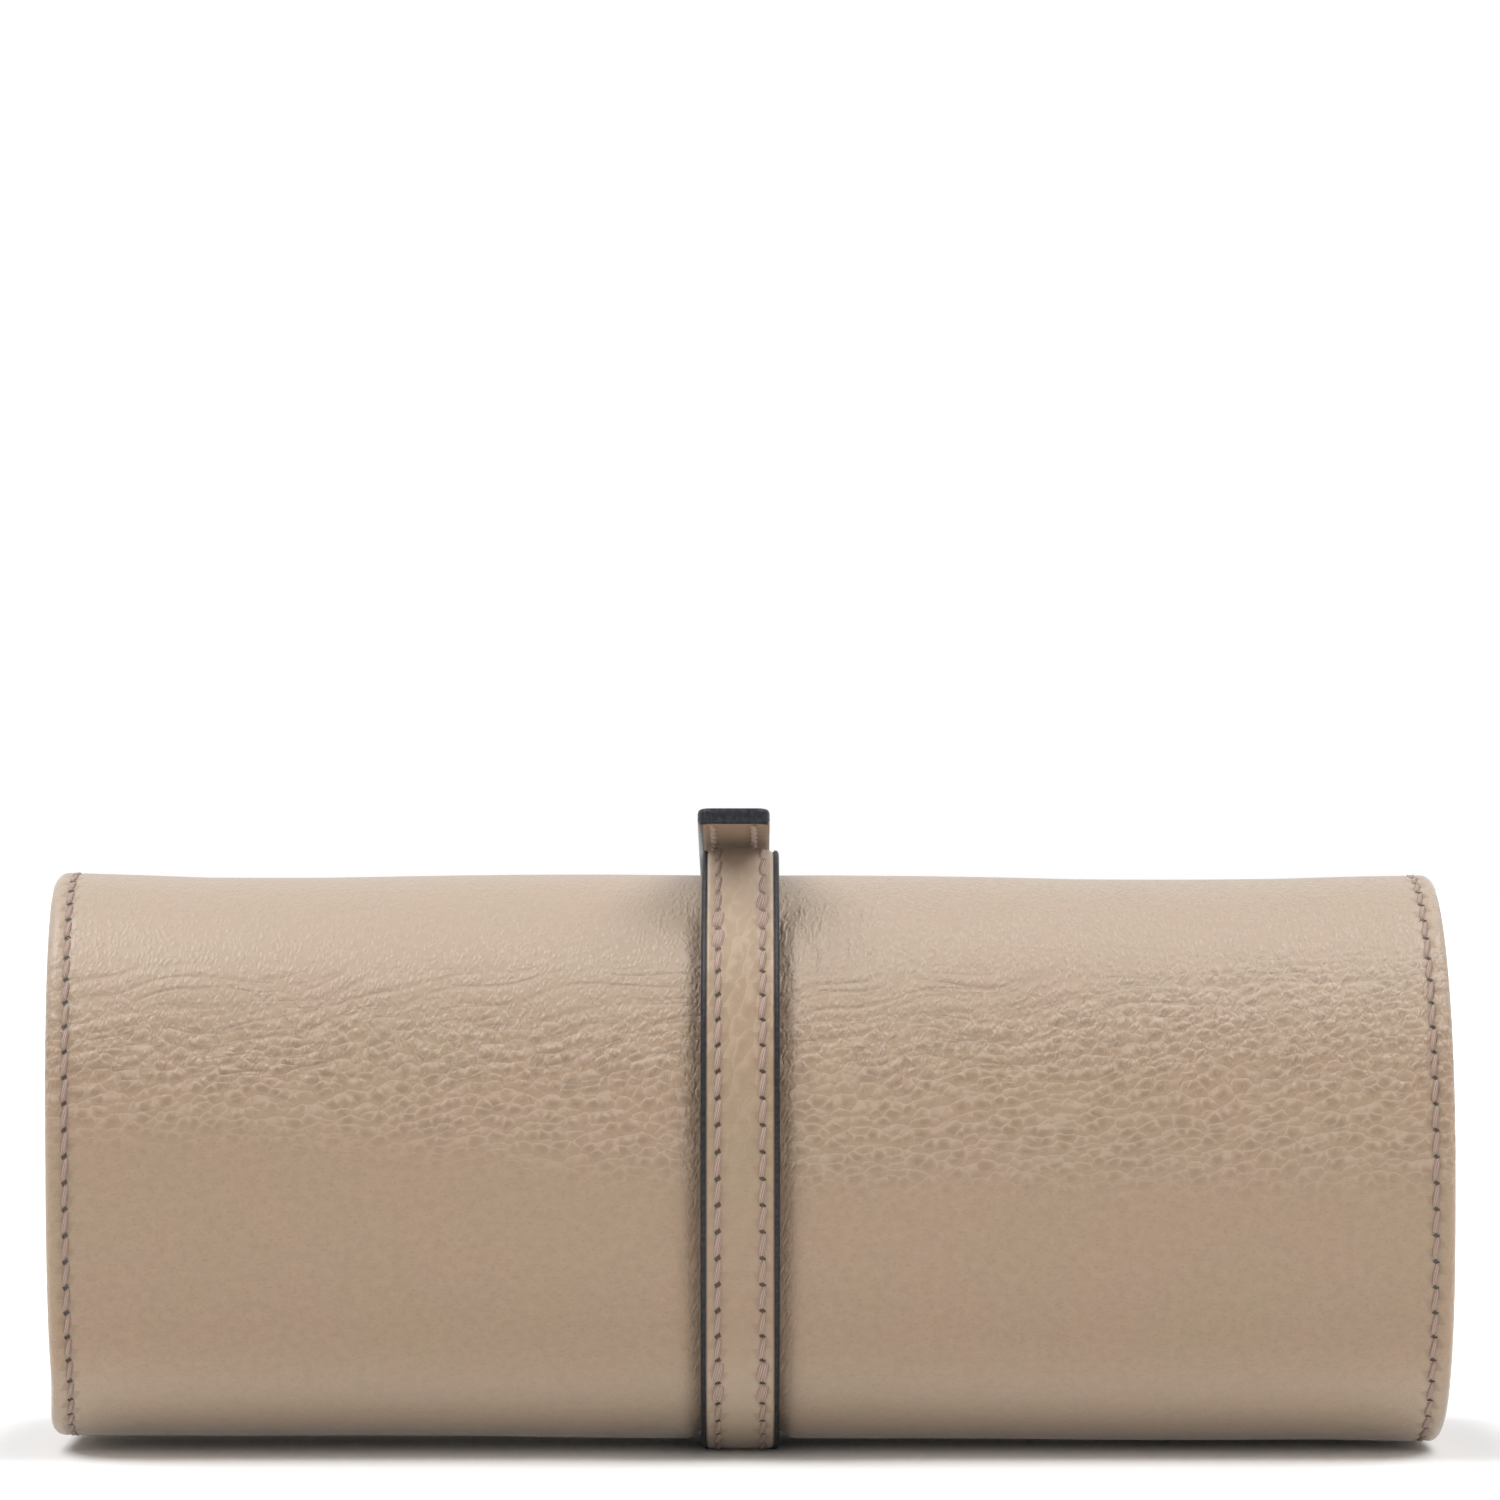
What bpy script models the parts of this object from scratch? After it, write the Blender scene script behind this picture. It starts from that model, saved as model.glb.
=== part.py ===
"""Jewellery roll of pebbled leather, shut by a two-ply leather strap.

One object for each sub-part, in metres, +Z up. X runs along the roll, the front faces -Y,
and the roll stands at z = 0 on the strap that passes under it.
"""
import math
from collections import namedtuple

import bmesh
import bpy
from mathutils import Matrix, Vector

# Driving sizes of the closed roll
ROLL_WIDTH = 0.230
ROLL_DEPTH = 0.072
HALF_HEIGHT = 0.0473
UPPER_POWER = 2.0
LOWER_POWER = 2.7
FLAT_ANGLE = 10.0
EDGE_ROUND = 0.0016
EDGE_ROUND_WIDTH = 0.0014

# Layers of the wall, outside to inside
LEATHER_THICKNESS = 0.0018
PADDING_THICKNESS = 0.0010
LINING_THICKNESS = 0.0007
PLY_GAP = 0.0002
LAYER_GAP = 0.0006
HEM_WIDTH = 0.008
HEM_STEP = 0.0003
SEAT_GAP = 0.0003
CUT_GAP = 0.0003
AXIS_GAP = 0.0001
WELD_DISTANCE = 0.000001

# Angles of the outward normal where the wrapped sheet folds: 0 front, 90 top, -90 bottom
FLAP_EDGE_ANGLE = -210.0
FLAP_ANGLE = -155.0
BACK_CORNER_ANGLE = -115.0
FRONT_CORNER_ANGLE = -65.0
FRONT_ANGLE = -25.0
TOP_FRONT_ANGLE = 28.0
TOP_BACK_ANGLE = 86.0
LEAF_ANGLE = 129.0
LEAF_EDGE_ANGLE = 172.0

# Strap of two plies, pressed a little way into the leather
STRAP_WIDTH = 0.013
STRAP_OFFSET = -0.0016
STRAP_PLY = 0.0012
STRAP_PROUD = 0.0018
STRAP_EDGE_ROUND = 0.0005
STRAP_EDGE_WIDTH = 0.0007
DENT_SIDE = 0.0004
DENT_RAMP = 0.004
SHORT_END_FREE_ANGLE = 50.0
SHORT_END_ANGLE = 82.0
SHORT_END_LIFT = 0.0031

# Tail and tip of the strap, which come over the top from behind
TIP_WIDTH = 0.012
TIP_OFFSET = -0.0027
TIP_REACH = 0.0252
TIP_RISE_ANGLE = 10.0
TIP_CORNER = 0.0025
TIP_REST_GAP = 0.0004
TIP_ROOT_REACH = 0.008
MAGNET_DIAMETER = 0.007
MAGNET_THICKNESS = 0.0008
MAGNET_INSET = 0.0085
SHORT_MAGNET_ANGLE = 66.0

# Zip pockets on the front panel and on the back flap
ZIP_LENGTH = 0.196
TAPE_WIDTH = 0.0065
TAPE_THICKNESS = 0.0005
TAPE_HALF_GAP = 0.0006
CHAIN_THICKNESS = 0.0014
CHAIN_HALF_WIDTH = 0.0022
CHAIN_CORE_HALF_WIDTH = 0.0009
TOOTH_PITCH = 0.0035
TOOTH_WIDTH = 0.0018
END_STOP_LENGTH = 0.0025
PANEL_THICKNESS = 0.0006
PANEL_HEM = 0.004
PANEL_SLIT = 0.0038
FRONT_ZIP_ANGLE = 17.0
FRONT_POCKET_ANGLE = -22.0
BACK_ZIP_ANGLE = -180.0
BACK_POCKET_ANGLE = -157.0
SLIDER_LENGTH = 0.009
SLIDER_PLATE = 0.0009
SLIDER_CHEEK = 0.0006
SLIDER_START_INSET = 0.009
BAIL_WIDTH = 0.0016
BAIL_THICKNESS = 0.0006
BAIL_SPAN = 0.0056
BAIL_CLEAR_HEIGHT = 0.0026
PULL_THICKNESS = 0.0011
PULL_LENGTH = 0.020
PULL_WIDTH = 0.0056
PULL_ARM_LENGTH = 0.0046
PULL_SLOT_WIDTH = 0.0023
PULL_EYE_DIAMETER = 0.0024

# Ring bar on the leaf, hinged at one end and snapped down at the other
BAR_RADIUS = 0.009
BAR_LENGTH = 0.158
BAR_COVER = 0.0010
BAR_ANGLE = 149.0
BAR_OFFSET = -0.003
BAR_SIDES = 16
BAR_END_STEPS = 4
TAB_WIDTH = 0.012
TAB_THICKNESS = 0.0011
TAB_LENGTH = 0.018
ANCHOR_LENGTH = 0.012
TAB_BEND = 0.0020
TAB_HOLD_ANGLE = 40.0
STUD_RADIUS = 0.0042
STUD_BASE = 0.0007
STUD_POST_RADIUS = 0.0015
STUD_POST = 0.0012
SOCKET_RADIUS = 0.0045
SOCKET_THICKNESS = 0.0013
SNAP_SIDES = 20

# Worked out from the sizes above
HALF_DEPTH = ROLL_DEPTH / 2
WALL = LEATHER_THICKNESS + PADDING_THICKNESS + LINING_THICKNESS + 2 * PLY_GAP
LEAF_HALF_DEPTH = HALF_DEPTH - WALL - LAYER_GAP
STRAP_THICKNESS = 2 * STRAP_PLY + PLY_GAP
STRAP_SUNK = STRAP_THICKNESS - STRAP_PROUD
DENT_DEPTH = STRAP_SUNK + SEAT_GAP
HEM_EDGE = ROLL_WIDTH / 2 - HEM_WIDTH
LINING_EDGE = HEM_EDGE - HEM_STEP - SEAT_GAP
PANEL_WIDTH = ZIP_LENGTH + 2 * (PANEL_HEM + HEM_STEP + SEAT_GAP)

KEY_ANGLES = (-180.0, -90.0 - FLAT_ANGLE, -90.0 + FLAT_ANGLE, 0.0)
ANGLE_STEP = 0.25
HALVINGS = 24

Station = namedtuple("Station", "point normal hem round dent lift shift width")
Ring = namedtuple("Ring", "x hem round dent")
Body = namedtuple("Body", "empty pivot")


# Scene and objects
def clear_scene():
    """Remove whatever the file opened with."""
    for item in list(bpy.data.objects):
        bpy.data.objects.remove(item, do_unlink=True)


def material(name, colour, roughness, metallic=0.0):
    """Principled material in one colour."""
    made = bpy.data.materials.new(name)
    made.use_nodes = True
    shader = made.node_tree.nodes["Principled BSDF"]
    shader.inputs["Base Color"].default_value = (*colour, 1.0)
    shader.inputs["Roughness"].default_value = roughness
    shader.inputs["Metallic"].default_value = metallic
    made.diffuse_color = (*colour, 1.0)
    return made


def make_body(name, pivot, parent=None):
    """Empty on a joint's axis, which carries every object of one moving body."""
    empty = bpy.data.objects.new(name, None)
    bpy.context.collection.objects.link(empty)
    empty.parent = parent.empty if parent else None
    empty.location = pivot - parent.pivot if parent else pivot
    return Body(empty, pivot)


def finish_object(name, mesh, colour, body):
    """Turn a bmesh in world coordinates into an object that hangs on its body's empty."""
    bmesh.ops.recalc_face_normals(mesh, faces=mesh.faces)
    data = bpy.data.meshes.new(name)
    mesh.to_mesh(data)
    mesh.free()
    data.transform(Matrix.Translation(-body.pivot))
    data.shade_smooth()
    data.set_sharp_from_angle(angle=math.radians(35.0))
    made = bpy.data.objects.new(name, data)
    made.parent = body.empty
    made.data.materials.append(colour)
    bpy.context.collection.objects.link(made)
    return made


def cut(target, cutter):
    """Cut one object out of another and keep the cutter as a wire guide."""
    cutter.hide_render = True
    cutter.display_type = "WIRE"
    boolean = target.modifiers.new("cut", "BOOLEAN")
    boolean.operation = "DIFFERENCE"
    boolean.solver = "EXACT"
    boolean.object = cutter


# The wrapped section
def section_point(angle, half_depth, power):
    """Point of a superellipse where its outward normal stands at this angle, and that normal."""
    turn = math.radians(angle)
    normal = Vector((0.0, -math.cos(turn), math.sin(turn)))
    exponent = 1.0 / (2.0 - 2.0 / power)
    level = (half_depth * abs(normal.y)) ** exponent
    upright = (HALF_HEIGHT * abs(normal.z)) ** exponent
    sweep = math.atan2(upright, level)
    y = half_depth * max(math.cos(sweep), 0.0) ** (2.0 / power)
    z = HALF_HEIGHT * math.sin(sweep) ** (2.0 / power)
    return Vector((0.0, math.copysign(y, normal.y), math.copysign(z, normal.z))), normal


def flat_drop():
    """Distance from the section's centre down to its flat underside."""
    edge, _ = section_point(FLAT_ANGLE - 90.0, HALF_DEPTH, LOWER_POWER)
    return -edge.z


CENTRE = Vector((0.0, 0.0, flat_drop() + STRAP_PROUD))


def wrap_point(angle):
    """Outer leather surface of the sheet, from the flap under the case and over to the leaf."""
    over_leaf = angle < -180.0
    if over_leaf:
        point, normal = section_point(angle + 360.0, LEAF_HALF_DEPTH, UPPER_POWER)
        point = point + normal * (WALL + LAYER_GAP)
    elif angle > 90.0:
        point, normal = section_point(angle, LEAF_HALF_DEPTH, UPPER_POWER)
    elif angle >= 0.0:
        point, normal = section_point(angle, HALF_DEPTH, UPPER_POWER)
    else:
        point, normal = section_point(angle, HALF_DEPTH, LOWER_POWER)
    if abs(angle + 90.0) <= FLAT_ANGLE:
        point.z = -flat_drop()
        normal = Vector((0.0, 0.0, -1.0))
    return CENTRE + point, normal


def along(normal):
    """Direction in which the sheet runs on towards the leaf."""
    return Vector((0.0, normal.z, -normal.y))


def angle_after(start, distance):
    """Angle reached from start by going this far along the sheet; a negative distance goes back."""
    step = math.copysign(ANGLE_STEP, distance)
    angle = start
    here, _ = wrap_point(angle)
    left = abs(distance)
    after, _ = wrap_point(angle + step)
    while (after - here).length < left:
        left -= (after - here).length
        here = after
        angle += step
        after, _ = wrap_point(angle + step)
    low, high = 0.0, step
    for _ in range(HALVINGS):
        middle = (low + high) / 2
        if (wrap_point(angle + middle)[0] - here).length < left:
            low = middle
        else:
            high = middle
    return angle + low


def run_length(start, end):
    """Length of the sheet's outside between two angles."""
    count = max(1, round((end - start) / ANGLE_STEP))
    points = [wrap_point(start + (end - start) * index / count)[0] for index in range(count + 1)]
    return sum((second - first).length for first, second in zip(points, points[1:]))


def smooth_share(value):
    """Smooth rise from 0 to 1."""
    bounded = min(max(value, 0.0), 1.0)
    return bounded * bounded * (3.0 - 2.0 * bounded)


def short_end_lift(angle):
    """How far the strap's short end stands off the leather at this angle."""
    reach = SHORT_END_ANGLE - SHORT_END_FREE_ANGLE
    return SHORT_END_LIFT * smooth_share((angle - SHORT_END_FREE_ANGLE) / reach)


def station(angle, hem=0.0, edge=0.0, shift_back=0.0):
    """Station of the sheet, with the dent and the strap's lift that belong to its angle."""
    point, normal = wrap_point(angle)
    point = point + along(normal) * shift_back
    lift = short_end_lift(angle) if 0.0 < angle <= 90.0 else 0.0
    dent = max(0.0, 1.0 - lift / DENT_DEPTH) if angle <= SHORT_END_ANGLE else 0.0
    return Station(point, normal, hem, edge, dent, lift, 0.0, 1.0)


def spread(start, end, steps):
    """Angles at even lengths from start to end, with the flat's edges and the widest points among them."""
    marks = [start] + [angle for angle in KEY_ANGLES if start < angle < end] + [end]
    total = run_length(start, end)
    angles = [start]
    for low, high in zip(marks, marks[1:]):
        flat = abs((low + high) / 2 + 90.0) < FLAT_ANGLE
        length = run_length(low, high)
        count = 1 if flat else max(1, round(steps * length / total))
        angles += [angle_after(low, length * index / count) for index in range(1, count)]
        angles.append(high)
    return angles


def segment(start, end, steps):
    """Stations of one fold segment, drawn back at both cuts."""
    made = [station(angle) for angle in spread(start, end, steps)]
    made[0] = station(start, shift_back=CUT_GAP / 2)
    made[-1] = station(end, shift_back=-CUT_GAP / 2)
    return made


def leather_segment(start, end, steps, free_edge=None):
    """Stations of a leather segment, with a turned hem and a round edge where the sheet ends."""
    if free_edge is None:
        return segment(start, end, steps)
    inward = 1.0 if free_edge == start else -1.0
    fold = end if free_edge == start else start
    hem = angle_after(free_edge, inward * HEM_WIDTH)
    panel = angle_after(free_edge, inward * (HEM_WIDTH + HEM_STEP))
    eased = angle_after(free_edge, inward * EDGE_ROUND_WIDTH)
    near = angle_after(free_edge, inward * EDGE_ROUND_WIDTH / 3)
    made = [station(free_edge, 1.0, 1.0), station(near, 1.0, 0.4), station(eased, 1.0), station(hem, 1.0)]
    inner = spread(min(panel, fold), max(panel, fold), steps)
    inner = inner if inward > 0 else inner[::-1]
    made += [station(angle) for angle in inner[:-1]]
    made.append(station(fold, shift_back=-inward * CUT_GAP / 2))
    return made if inward > 0 else made[::-1]


def lining_segment(start, end, steps, free_edge=None):
    """Stations of a lining or padding segment, which ends at the turned hem."""
    made = segment(start, end, steps)
    if free_edge is None:
        return made
    inward = 1.0 if free_edge == start else -1.0
    panel = angle_after(free_edge, inward * (HEM_WIDTH + HEM_STEP + SEAT_GAP))
    if inward > 0:
        made = [station(angle) for angle in spread(panel, end, steps)]
        made[-1] = station(end, shift_back=-CUT_GAP / 2)
    else:
        made = [station(angle) for angle in spread(start, panel, steps)]
        made[0] = station(start, shift_back=CUT_GAP / 2)
    return made


# Sheets lofted along the roll
def loft(stations, rings, outer, inner, across=Vector((1.0, 0.0, 0.0))):
    """Closed sheet between two offset surfaces; each ring is one section across it."""
    mesh = bmesh.new()
    loops = []
    for ring in rings:
        top = []
        low = []
        for place in stations:
            foot = place.point + across * (place.shift + ring.x * place.width)
            high, deep = outer(place, ring), inner(place, ring)
            top.append(mesh.verts.new(foot + place.normal * high))
            low.append(mesh.verts.new(foot + place.normal * deep))
        loops.append(top + low[::-1])
    size = len(loops[0])
    for first, second in zip(loops, loops[1:]):
        for index in range(size):
            after = (index + 1) % size
            mesh.faces.new((first[index], second[index], second[after], first[after]))
    for loop in (loops[0], loops[-1]):
        for index in range(size // 2 - 1):
            mesh.faces.new((loop[index], loop[index + 1], loop[size - 2 - index], loop[size - 1 - index]))
    return mesh


def edge_rings(half_width, eased, hem=0.0):
    """Rings of one rounded side edge, from the edge inwards, as offsets from the middle."""
    return [Ring(half_width, hem, 1.0, 0.0), Ring(half_width - eased / 3, hem, 0.4, 0.0),
            Ring(half_width - eased, hem, 0.0, 0.0)]


def mirrored(rings):
    """The same rings on the other side, in rising order."""
    return [ring._replace(x=-ring.x) for ring in rings] + rings[::-1]


def leather_rings(dented):
    """Rings across a leather segment: round edges, turned hems and the strap's dent."""
    side = edge_rings(ROLL_WIDTH / 2, EDGE_ROUND_WIDTH, 1.0)
    side += [Ring(HEM_EDGE, 1.0, 0.0, 0.0), Ring(HEM_EDGE - HEM_STEP, 0.0, 0.0, 0.0)]
    if not dented:
        return mirrored(side)
    bed = STRAP_WIDTH / 2 + DENT_SIDE
    middle = [Ring(STRAP_OFFSET - bed - DENT_RAMP, 0.0, 0.0, 0.0), Ring(STRAP_OFFSET - bed, 0.0, 0.0, 1.0),
              Ring(STRAP_OFFSET + bed, 0.0, 0.0, 1.0), Ring(STRAP_OFFSET + bed + DENT_RAMP, 0.0, 0.0, 0.0)]
    left = [ring._replace(x=-ring.x) for ring in side]
    return left + middle + side[::-1]


def leather_outer(place, ring):
    """Outside of the leather: eased at its edges and pressed in under the strap."""
    return -EDGE_ROUND * max(place.round, ring.round) - DENT_DEPTH * place.dent * ring.dent


def leather_inner(place, ring):
    """Inside of the leather: the whole wall where it is turned over, else one thickness."""
    eased = EDGE_ROUND * max(place.round, ring.round)
    turned = max(place.hem, ring.hem)
    return eased - (WALL if turned else LEATHER_THICKNESS)


def leather_piece(name, stations, dented, colour, body):
    """Segment of the leather outside, with its turned hems."""
    mesh = loft(stations, leather_rings(dented), leather_outer, leather_inner)
    return finish_object(name, mesh, colour, body)


def layer_piece(name, stations, outer, thickness, half_width, colour, body):
    """Plain layer of cloth or foam at one depth below the leather's outside."""
    rings = [Ring(-half_width, 0.0, 0.0, 0.0), Ring(half_width, 0.0, 0.0, 0.0)]
    mesh = loft(stations, rings, lambda place, ring: -outer, lambda place, ring: -outer - thickness)
    return finish_object(name, mesh, colour, body)


def lining_piece(name, stations, colour, body):
    """Segment of the lining, edge to edge between the turned hems."""
    return layer_piece(name, stations, WALL - LINING_THICKNESS, LINING_THICKNESS, LINING_EDGE, colour, body)


def padding_piece(name, stations, colour, body):
    """Foam panel between leather and lining, only in the flat panels."""
    top = LEATHER_THICKNESS + PLY_GAP
    return layer_piece(name, stations, top, PADDING_THICKNESS, LINING_EDGE, colour, body)


# Strap
def strap_ply(name, stations, low, width, colour, body, centre):
    """One ply of the strap with rounded side edges; low is its underside's height."""
    rings = mirrored(edge_rings(width / 2, STRAP_EDGE_WIDTH))
    places = [place._replace(shift=place.shift + centre) for place in stations]
    high = low + STRAP_PLY

    def outer(place, ring):
        return high + place.lift - STRAP_EDGE_ROUND * ring.round

    def inner(place, ring):
        return low + place.lift + STRAP_EDGE_ROUND * ring.round

    return finish_object(name, loft(places, rings, outer, inner), colour, body)


def strap_plies(name, stations, colours, body, width=STRAP_WIDTH, centre=STRAP_OFFSET):
    """Face ply and backing ply of one stretch of the strap."""
    face = strap_ply(name + "_face", stations, STRAP_PROUD - STRAP_PLY, width, colours[0], body, centre)
    backing = strap_ply(name + "_backing", stations, -STRAP_SUNK, width, colours[1], body, centre)
    return face, backing


def short_end_stations():
    """Stations of the short end, which leaves the leather and bends back over the top."""
    made = [station(angle) for angle in spread(TOP_FRONT_ANGLE, SHORT_END_ANGLE, 9)]
    made[0] = station(TOP_FRONT_ANGLE, shift_back=CUT_GAP / 2)
    return made


def lifted_station(angle):
    """Station of the short end with the lift in its point and its normal square to the lifted strap."""
    before, here, after = (station(angle + turn) for turn in (-ANGLE_STEP, 0.0, ANGLE_STEP))
    run = (after.point + after.normal * after.lift) - (before.point + before.normal * before.lift)
    run = run.normalized()
    point = here.point + here.normal * here.lift
    return here._replace(point=point, normal=Vector((0.0, -run.z, run.y)), lift=0.0)


def tip_line():
    """Root and direction of the straight tip, which lies on the back edge of the short end."""
    end = station(SHORT_END_ANGLE)
    rest = end.point + end.normal * (STRAP_PROUD + end.lift)
    rise = math.radians(TIP_RISE_ANGLE)
    ahead = Vector((0.0, -math.cos(rise), math.sin(rise)))
    normal = Vector((0.0, math.sin(rise), math.cos(rise)))
    base = rest + normal * (TIP_REST_GAP + STRAP_SUNK)
    root = base + ahead * ((base.y - TIP_ROOT_REACH) / math.cos(rise))
    return root, ahead, normal


def tail_stations(steps=10):
    """Stations of the tail, a free loop from the flap's edge up to the tip's root."""
    start, start_normal = wrap_point(FLAP_EDGE_ANGLE)
    leave = -along(start_normal)
    root, ahead, root_normal = tip_line()
    reach = (root - start).cross(ahead).x / leave.cross(ahead).x
    knee = start + leave * reach
    made = []
    for index in range(steps + 1):
        t = index / steps
        point = start * (1 - t) ** 2 + knee * (2 * t * (1 - t)) + root * t ** 2
        run = ((knee - start) * (1 - t) + (root - knee) * t).normalized()
        normal = Vector((0.0, run.z, -run.y))
        share = smooth_share(t)
        shift = (TIP_OFFSET - STRAP_OFFSET) * share
        width = 1.0 + (TIP_WIDTH / STRAP_WIDTH - 1.0) * share
        made.append(Station(point, normal, 0.0, 0.0, 0.0, 0.0, shift, width))
    made[0] = made[0]._replace(point=start + leave * CUT_GAP / 2)
    made[-1] = made[-1]._replace(point=root - ahead * CUT_GAP / 2)
    return made[::-1]


def tip_stations():
    """Stations of the tip, straight, with rounded corners at its cut end."""
    root, ahead, normal = tip_line()
    length = (root.y + TIP_REACH) / -ahead.y
    corner_shares = ((0.0, 0.78), (0.25, 0.90), (0.6, 0.97), (1.0, 1.0))
    made = [Station(root + ahead * (length - TIP_CORNER * run), normal, 0.0, 0.0, 0.0, 0.0, 0.0, width)
            for run, width in corner_shares]
    straight = length - TIP_CORNER
    for index in range(1, 6):
        reach = straight * (1 - index / 6)
        made.append(Station(root + ahead * reach, normal, 0.0, 0.0, 0.0, 0.0, 0.0, 1.0))
    made.append(Station(root + ahead * CUT_GAP / 2, normal, 0.0, 0.0, 0.0, 0.0, 0.0, 1.0))
    return made


def disc(radius, height, sides, frame):
    """Closed round disc, standing on the frame's origin along its third axis."""
    mesh = bmesh.new()
    centre = frame @ Matrix.Translation((0.0, 0.0, height / 2))
    bmesh.ops.create_cone(mesh, cap_ends=True, segments=sides, radius1=radius, radius2=radius,
                          depth=height, matrix=centre)
    return mesh


def magnet(name, place, centre, plies, colour, body):
    """Flat disc magnet in a recess cut half from each ply."""
    middle = place.point + place.normal * (place.lift + STRAP_PROUD - STRAP_PLY - PLY_GAP / 2)
    frame = plane_frame(middle + Vector((centre, 0.0, 0.0)), place.normal)
    bed = MAGNET_THICKNESS + 2 * PLY_GAP
    sink = Matrix.Translation((0.0, 0.0, -bed / 2))
    recess = disc(MAGNET_DIAMETER / 2 + SEAT_GAP, bed, SNAP_SIDES, frame @ sink)
    cutter = finish_object(name + "_recess", recess, colour, body)
    for ply in plies:
        cut(ply, cutter)
    sink = Matrix.Translation((0.0, 0.0, -MAGNET_THICKNESS / 2))
    plate = disc(MAGNET_DIAMETER / 2, MAGNET_THICKNESS, SNAP_SIDES, frame @ sink)
    return finish_object(name, plate, colour, body)


def plane_frame(origin, up):
    """Frame with its first axis along X and its third along up."""
    first = Vector((1.0, 0.0, 0.0))
    second = up.cross(first).normalized()
    return Matrix.Translation(origin) @ Matrix((first, second, up)).transposed().to_4x4()


# Zip pockets
def inside_frame(angle):
    """Frame on the lining's inner face: X along the roll, then along the wall, then inwards."""
    point, normal = wrap_point(angle)
    return plane_frame(point - normal * WALL, -normal)


def prism(outline, low, high, frame):
    """Closed prism over a flat outline."""
    mesh = bmesh.new()
    base = [mesh.verts.new(frame @ Vector((x, y, low))) for x, y in outline]
    top = [mesh.verts.new(frame @ Vector((x, y, high))) for x, y in outline]
    mesh.faces.new(base[::-1])
    mesh.faces.new(top)
    count = len(outline)
    for index in range(count):
        after = (index + 1) % count
        mesh.faces.new((base[index], base[after], top[after], top[index]))
    return mesh


def zip_tape(name, zip_angle, side, colour, body):
    """One woven tape along the wall; side is the direction in which it lies from the teeth."""
    near = angle_after(zip_angle, side * TAPE_HALF_GAP)
    far = angle_after(zip_angle, side * (TAPE_HALF_GAP + TAPE_WIDTH))
    places = [station(angle) for angle in spread(min(near, far), max(near, far), 3)]
    return layer_piece(name, places, WALL + SEAT_GAP, TAPE_THICKNESS, ZIP_LENGTH / 2, colour, body)


def chain_level():
    """Height of the chain's underside above the lining."""
    return 2 * SEAT_GAP + TAPE_THICKNESS


def chain_outline():
    """Comb of interlocking teeth between two end stops, one side half a pitch behind the other."""
    half = ZIP_LENGTH / 2 - SEAT_GAP
    wide, core = CHAIN_HALF_WIDTH, CHAIN_CORE_HALF_WIDTH
    count = int((2 * half - 2 * END_STOP_LENGTH - 2 * TOOTH_PITCH) / TOOTH_PITCH)
    first = -count * TOOTH_PITCH / 2
    upper = [(-half, wide), (-half + END_STOP_LENGTH, wide), (-half + END_STOP_LENGTH, core)]
    for index in range(count):
        left = first + index * TOOTH_PITCH
        upper += [(left, core), (left, wide), (left + TOOTH_WIDTH, wide), (left + TOOTH_WIDTH, core)]
    upper += [(half - END_STOP_LENGTH, core), (half - END_STOP_LENGTH, wide), (half, wide)]
    lower = [(-x, -y) for x, y in upper]
    return upper + lower


def zip_chain(name, colour, body, frame):
    """Moulded zip chain."""
    low = chain_level()
    return finish_object(name, prism(chain_outline(), low, low + CHAIN_THICKNESS, frame), colour, body)


def slider_frame(frame):
    """Frame of the slider at its closed end of the chain, on top of its plate."""
    start = ZIP_LENGTH / 2 - SLIDER_START_INSET
    top = chain_level() + CHAIN_THICKNESS + SEAT_GAP + SLIDER_PLATE
    return frame @ Matrix.Translation((-start, 0.0, top))


def extrude_across(outline, near, far, frame):
    """Closed prism over an outline of (along, up) points, from near to far across it."""
    mesh = bmesh.new()
    first = [mesh.verts.new(frame @ Vector((x, near, z))) for x, z in outline]
    second = [mesh.verts.new(frame @ Vector((x, far, z))) for x, z in outline]
    mesh.faces.new(first)
    mesh.faces.new(second[::-1])
    count = len(outline)
    for index in range(count):
        after = (index + 1) % count
        mesh.faces.new((first[after], first[index], second[index], second[after]))
    return mesh


def union(target, piece):
    """Join a second closed shape to an object and keep that shape as a wire guide."""
    piece.hide_render = True
    piece.display_type = "WIRE"
    boolean = target.modifiers.new("join", "BOOLEAN")
    boolean.operation = "UNION"
    boolean.solver = "EXACT"
    boolean.object = piece


def zip_slider(name, colour, body, frame):
    """Slider: a plate over the teeth, cheeks down both sides, and a bail for the pull on top."""
    here = slider_frame(frame)
    half = SLIDER_LENGTH / 2
    inner = CHAIN_HALF_WIDTH + SEAT_GAP
    outer = inner + SLIDER_CHEEK
    drop = SLIDER_PLATE + SEAT_GAP + CHAIN_THICKNESS
    section = [(-outer, -drop), (-inner, -drop), (-inner, -SLIDER_PLATE), (inner, -SLIDER_PLATE),
               (inner, -drop), (outer, -drop), (outer, 0.0), (-outer, 0.0)]
    turned = here @ Matrix.Rotation(math.radians(90.0), 4, "Z")
    slider = finish_object(name, extrude_across(section, -half, half, turned), colour, body)
    foot = BAIL_SPAN / 2
    reach = foot - BAIL_THICKNESS
    crown = BAIL_CLEAR_HEIGHT + BAIL_THICKNESS
    sunk = -SLIDER_PLATE / 2
    arch = [(-foot, sunk), (-reach, sunk), (-reach, BAIL_CLEAR_HEIGHT), (reach, BAIL_CLEAR_HEIGHT),
            (reach, sunk), (foot, sunk), (foot, BAIL_CLEAR_HEIGHT), (reach, crown), (-reach, crown),
            (-foot, BAIL_CLEAR_HEIGHT)]
    bail = extrude_across(arch, -BAIL_WIDTH / 2, BAIL_WIDTH / 2, here)
    union(slider, finish_object(name + "_bail", bail, colour, body))
    return slider


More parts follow.
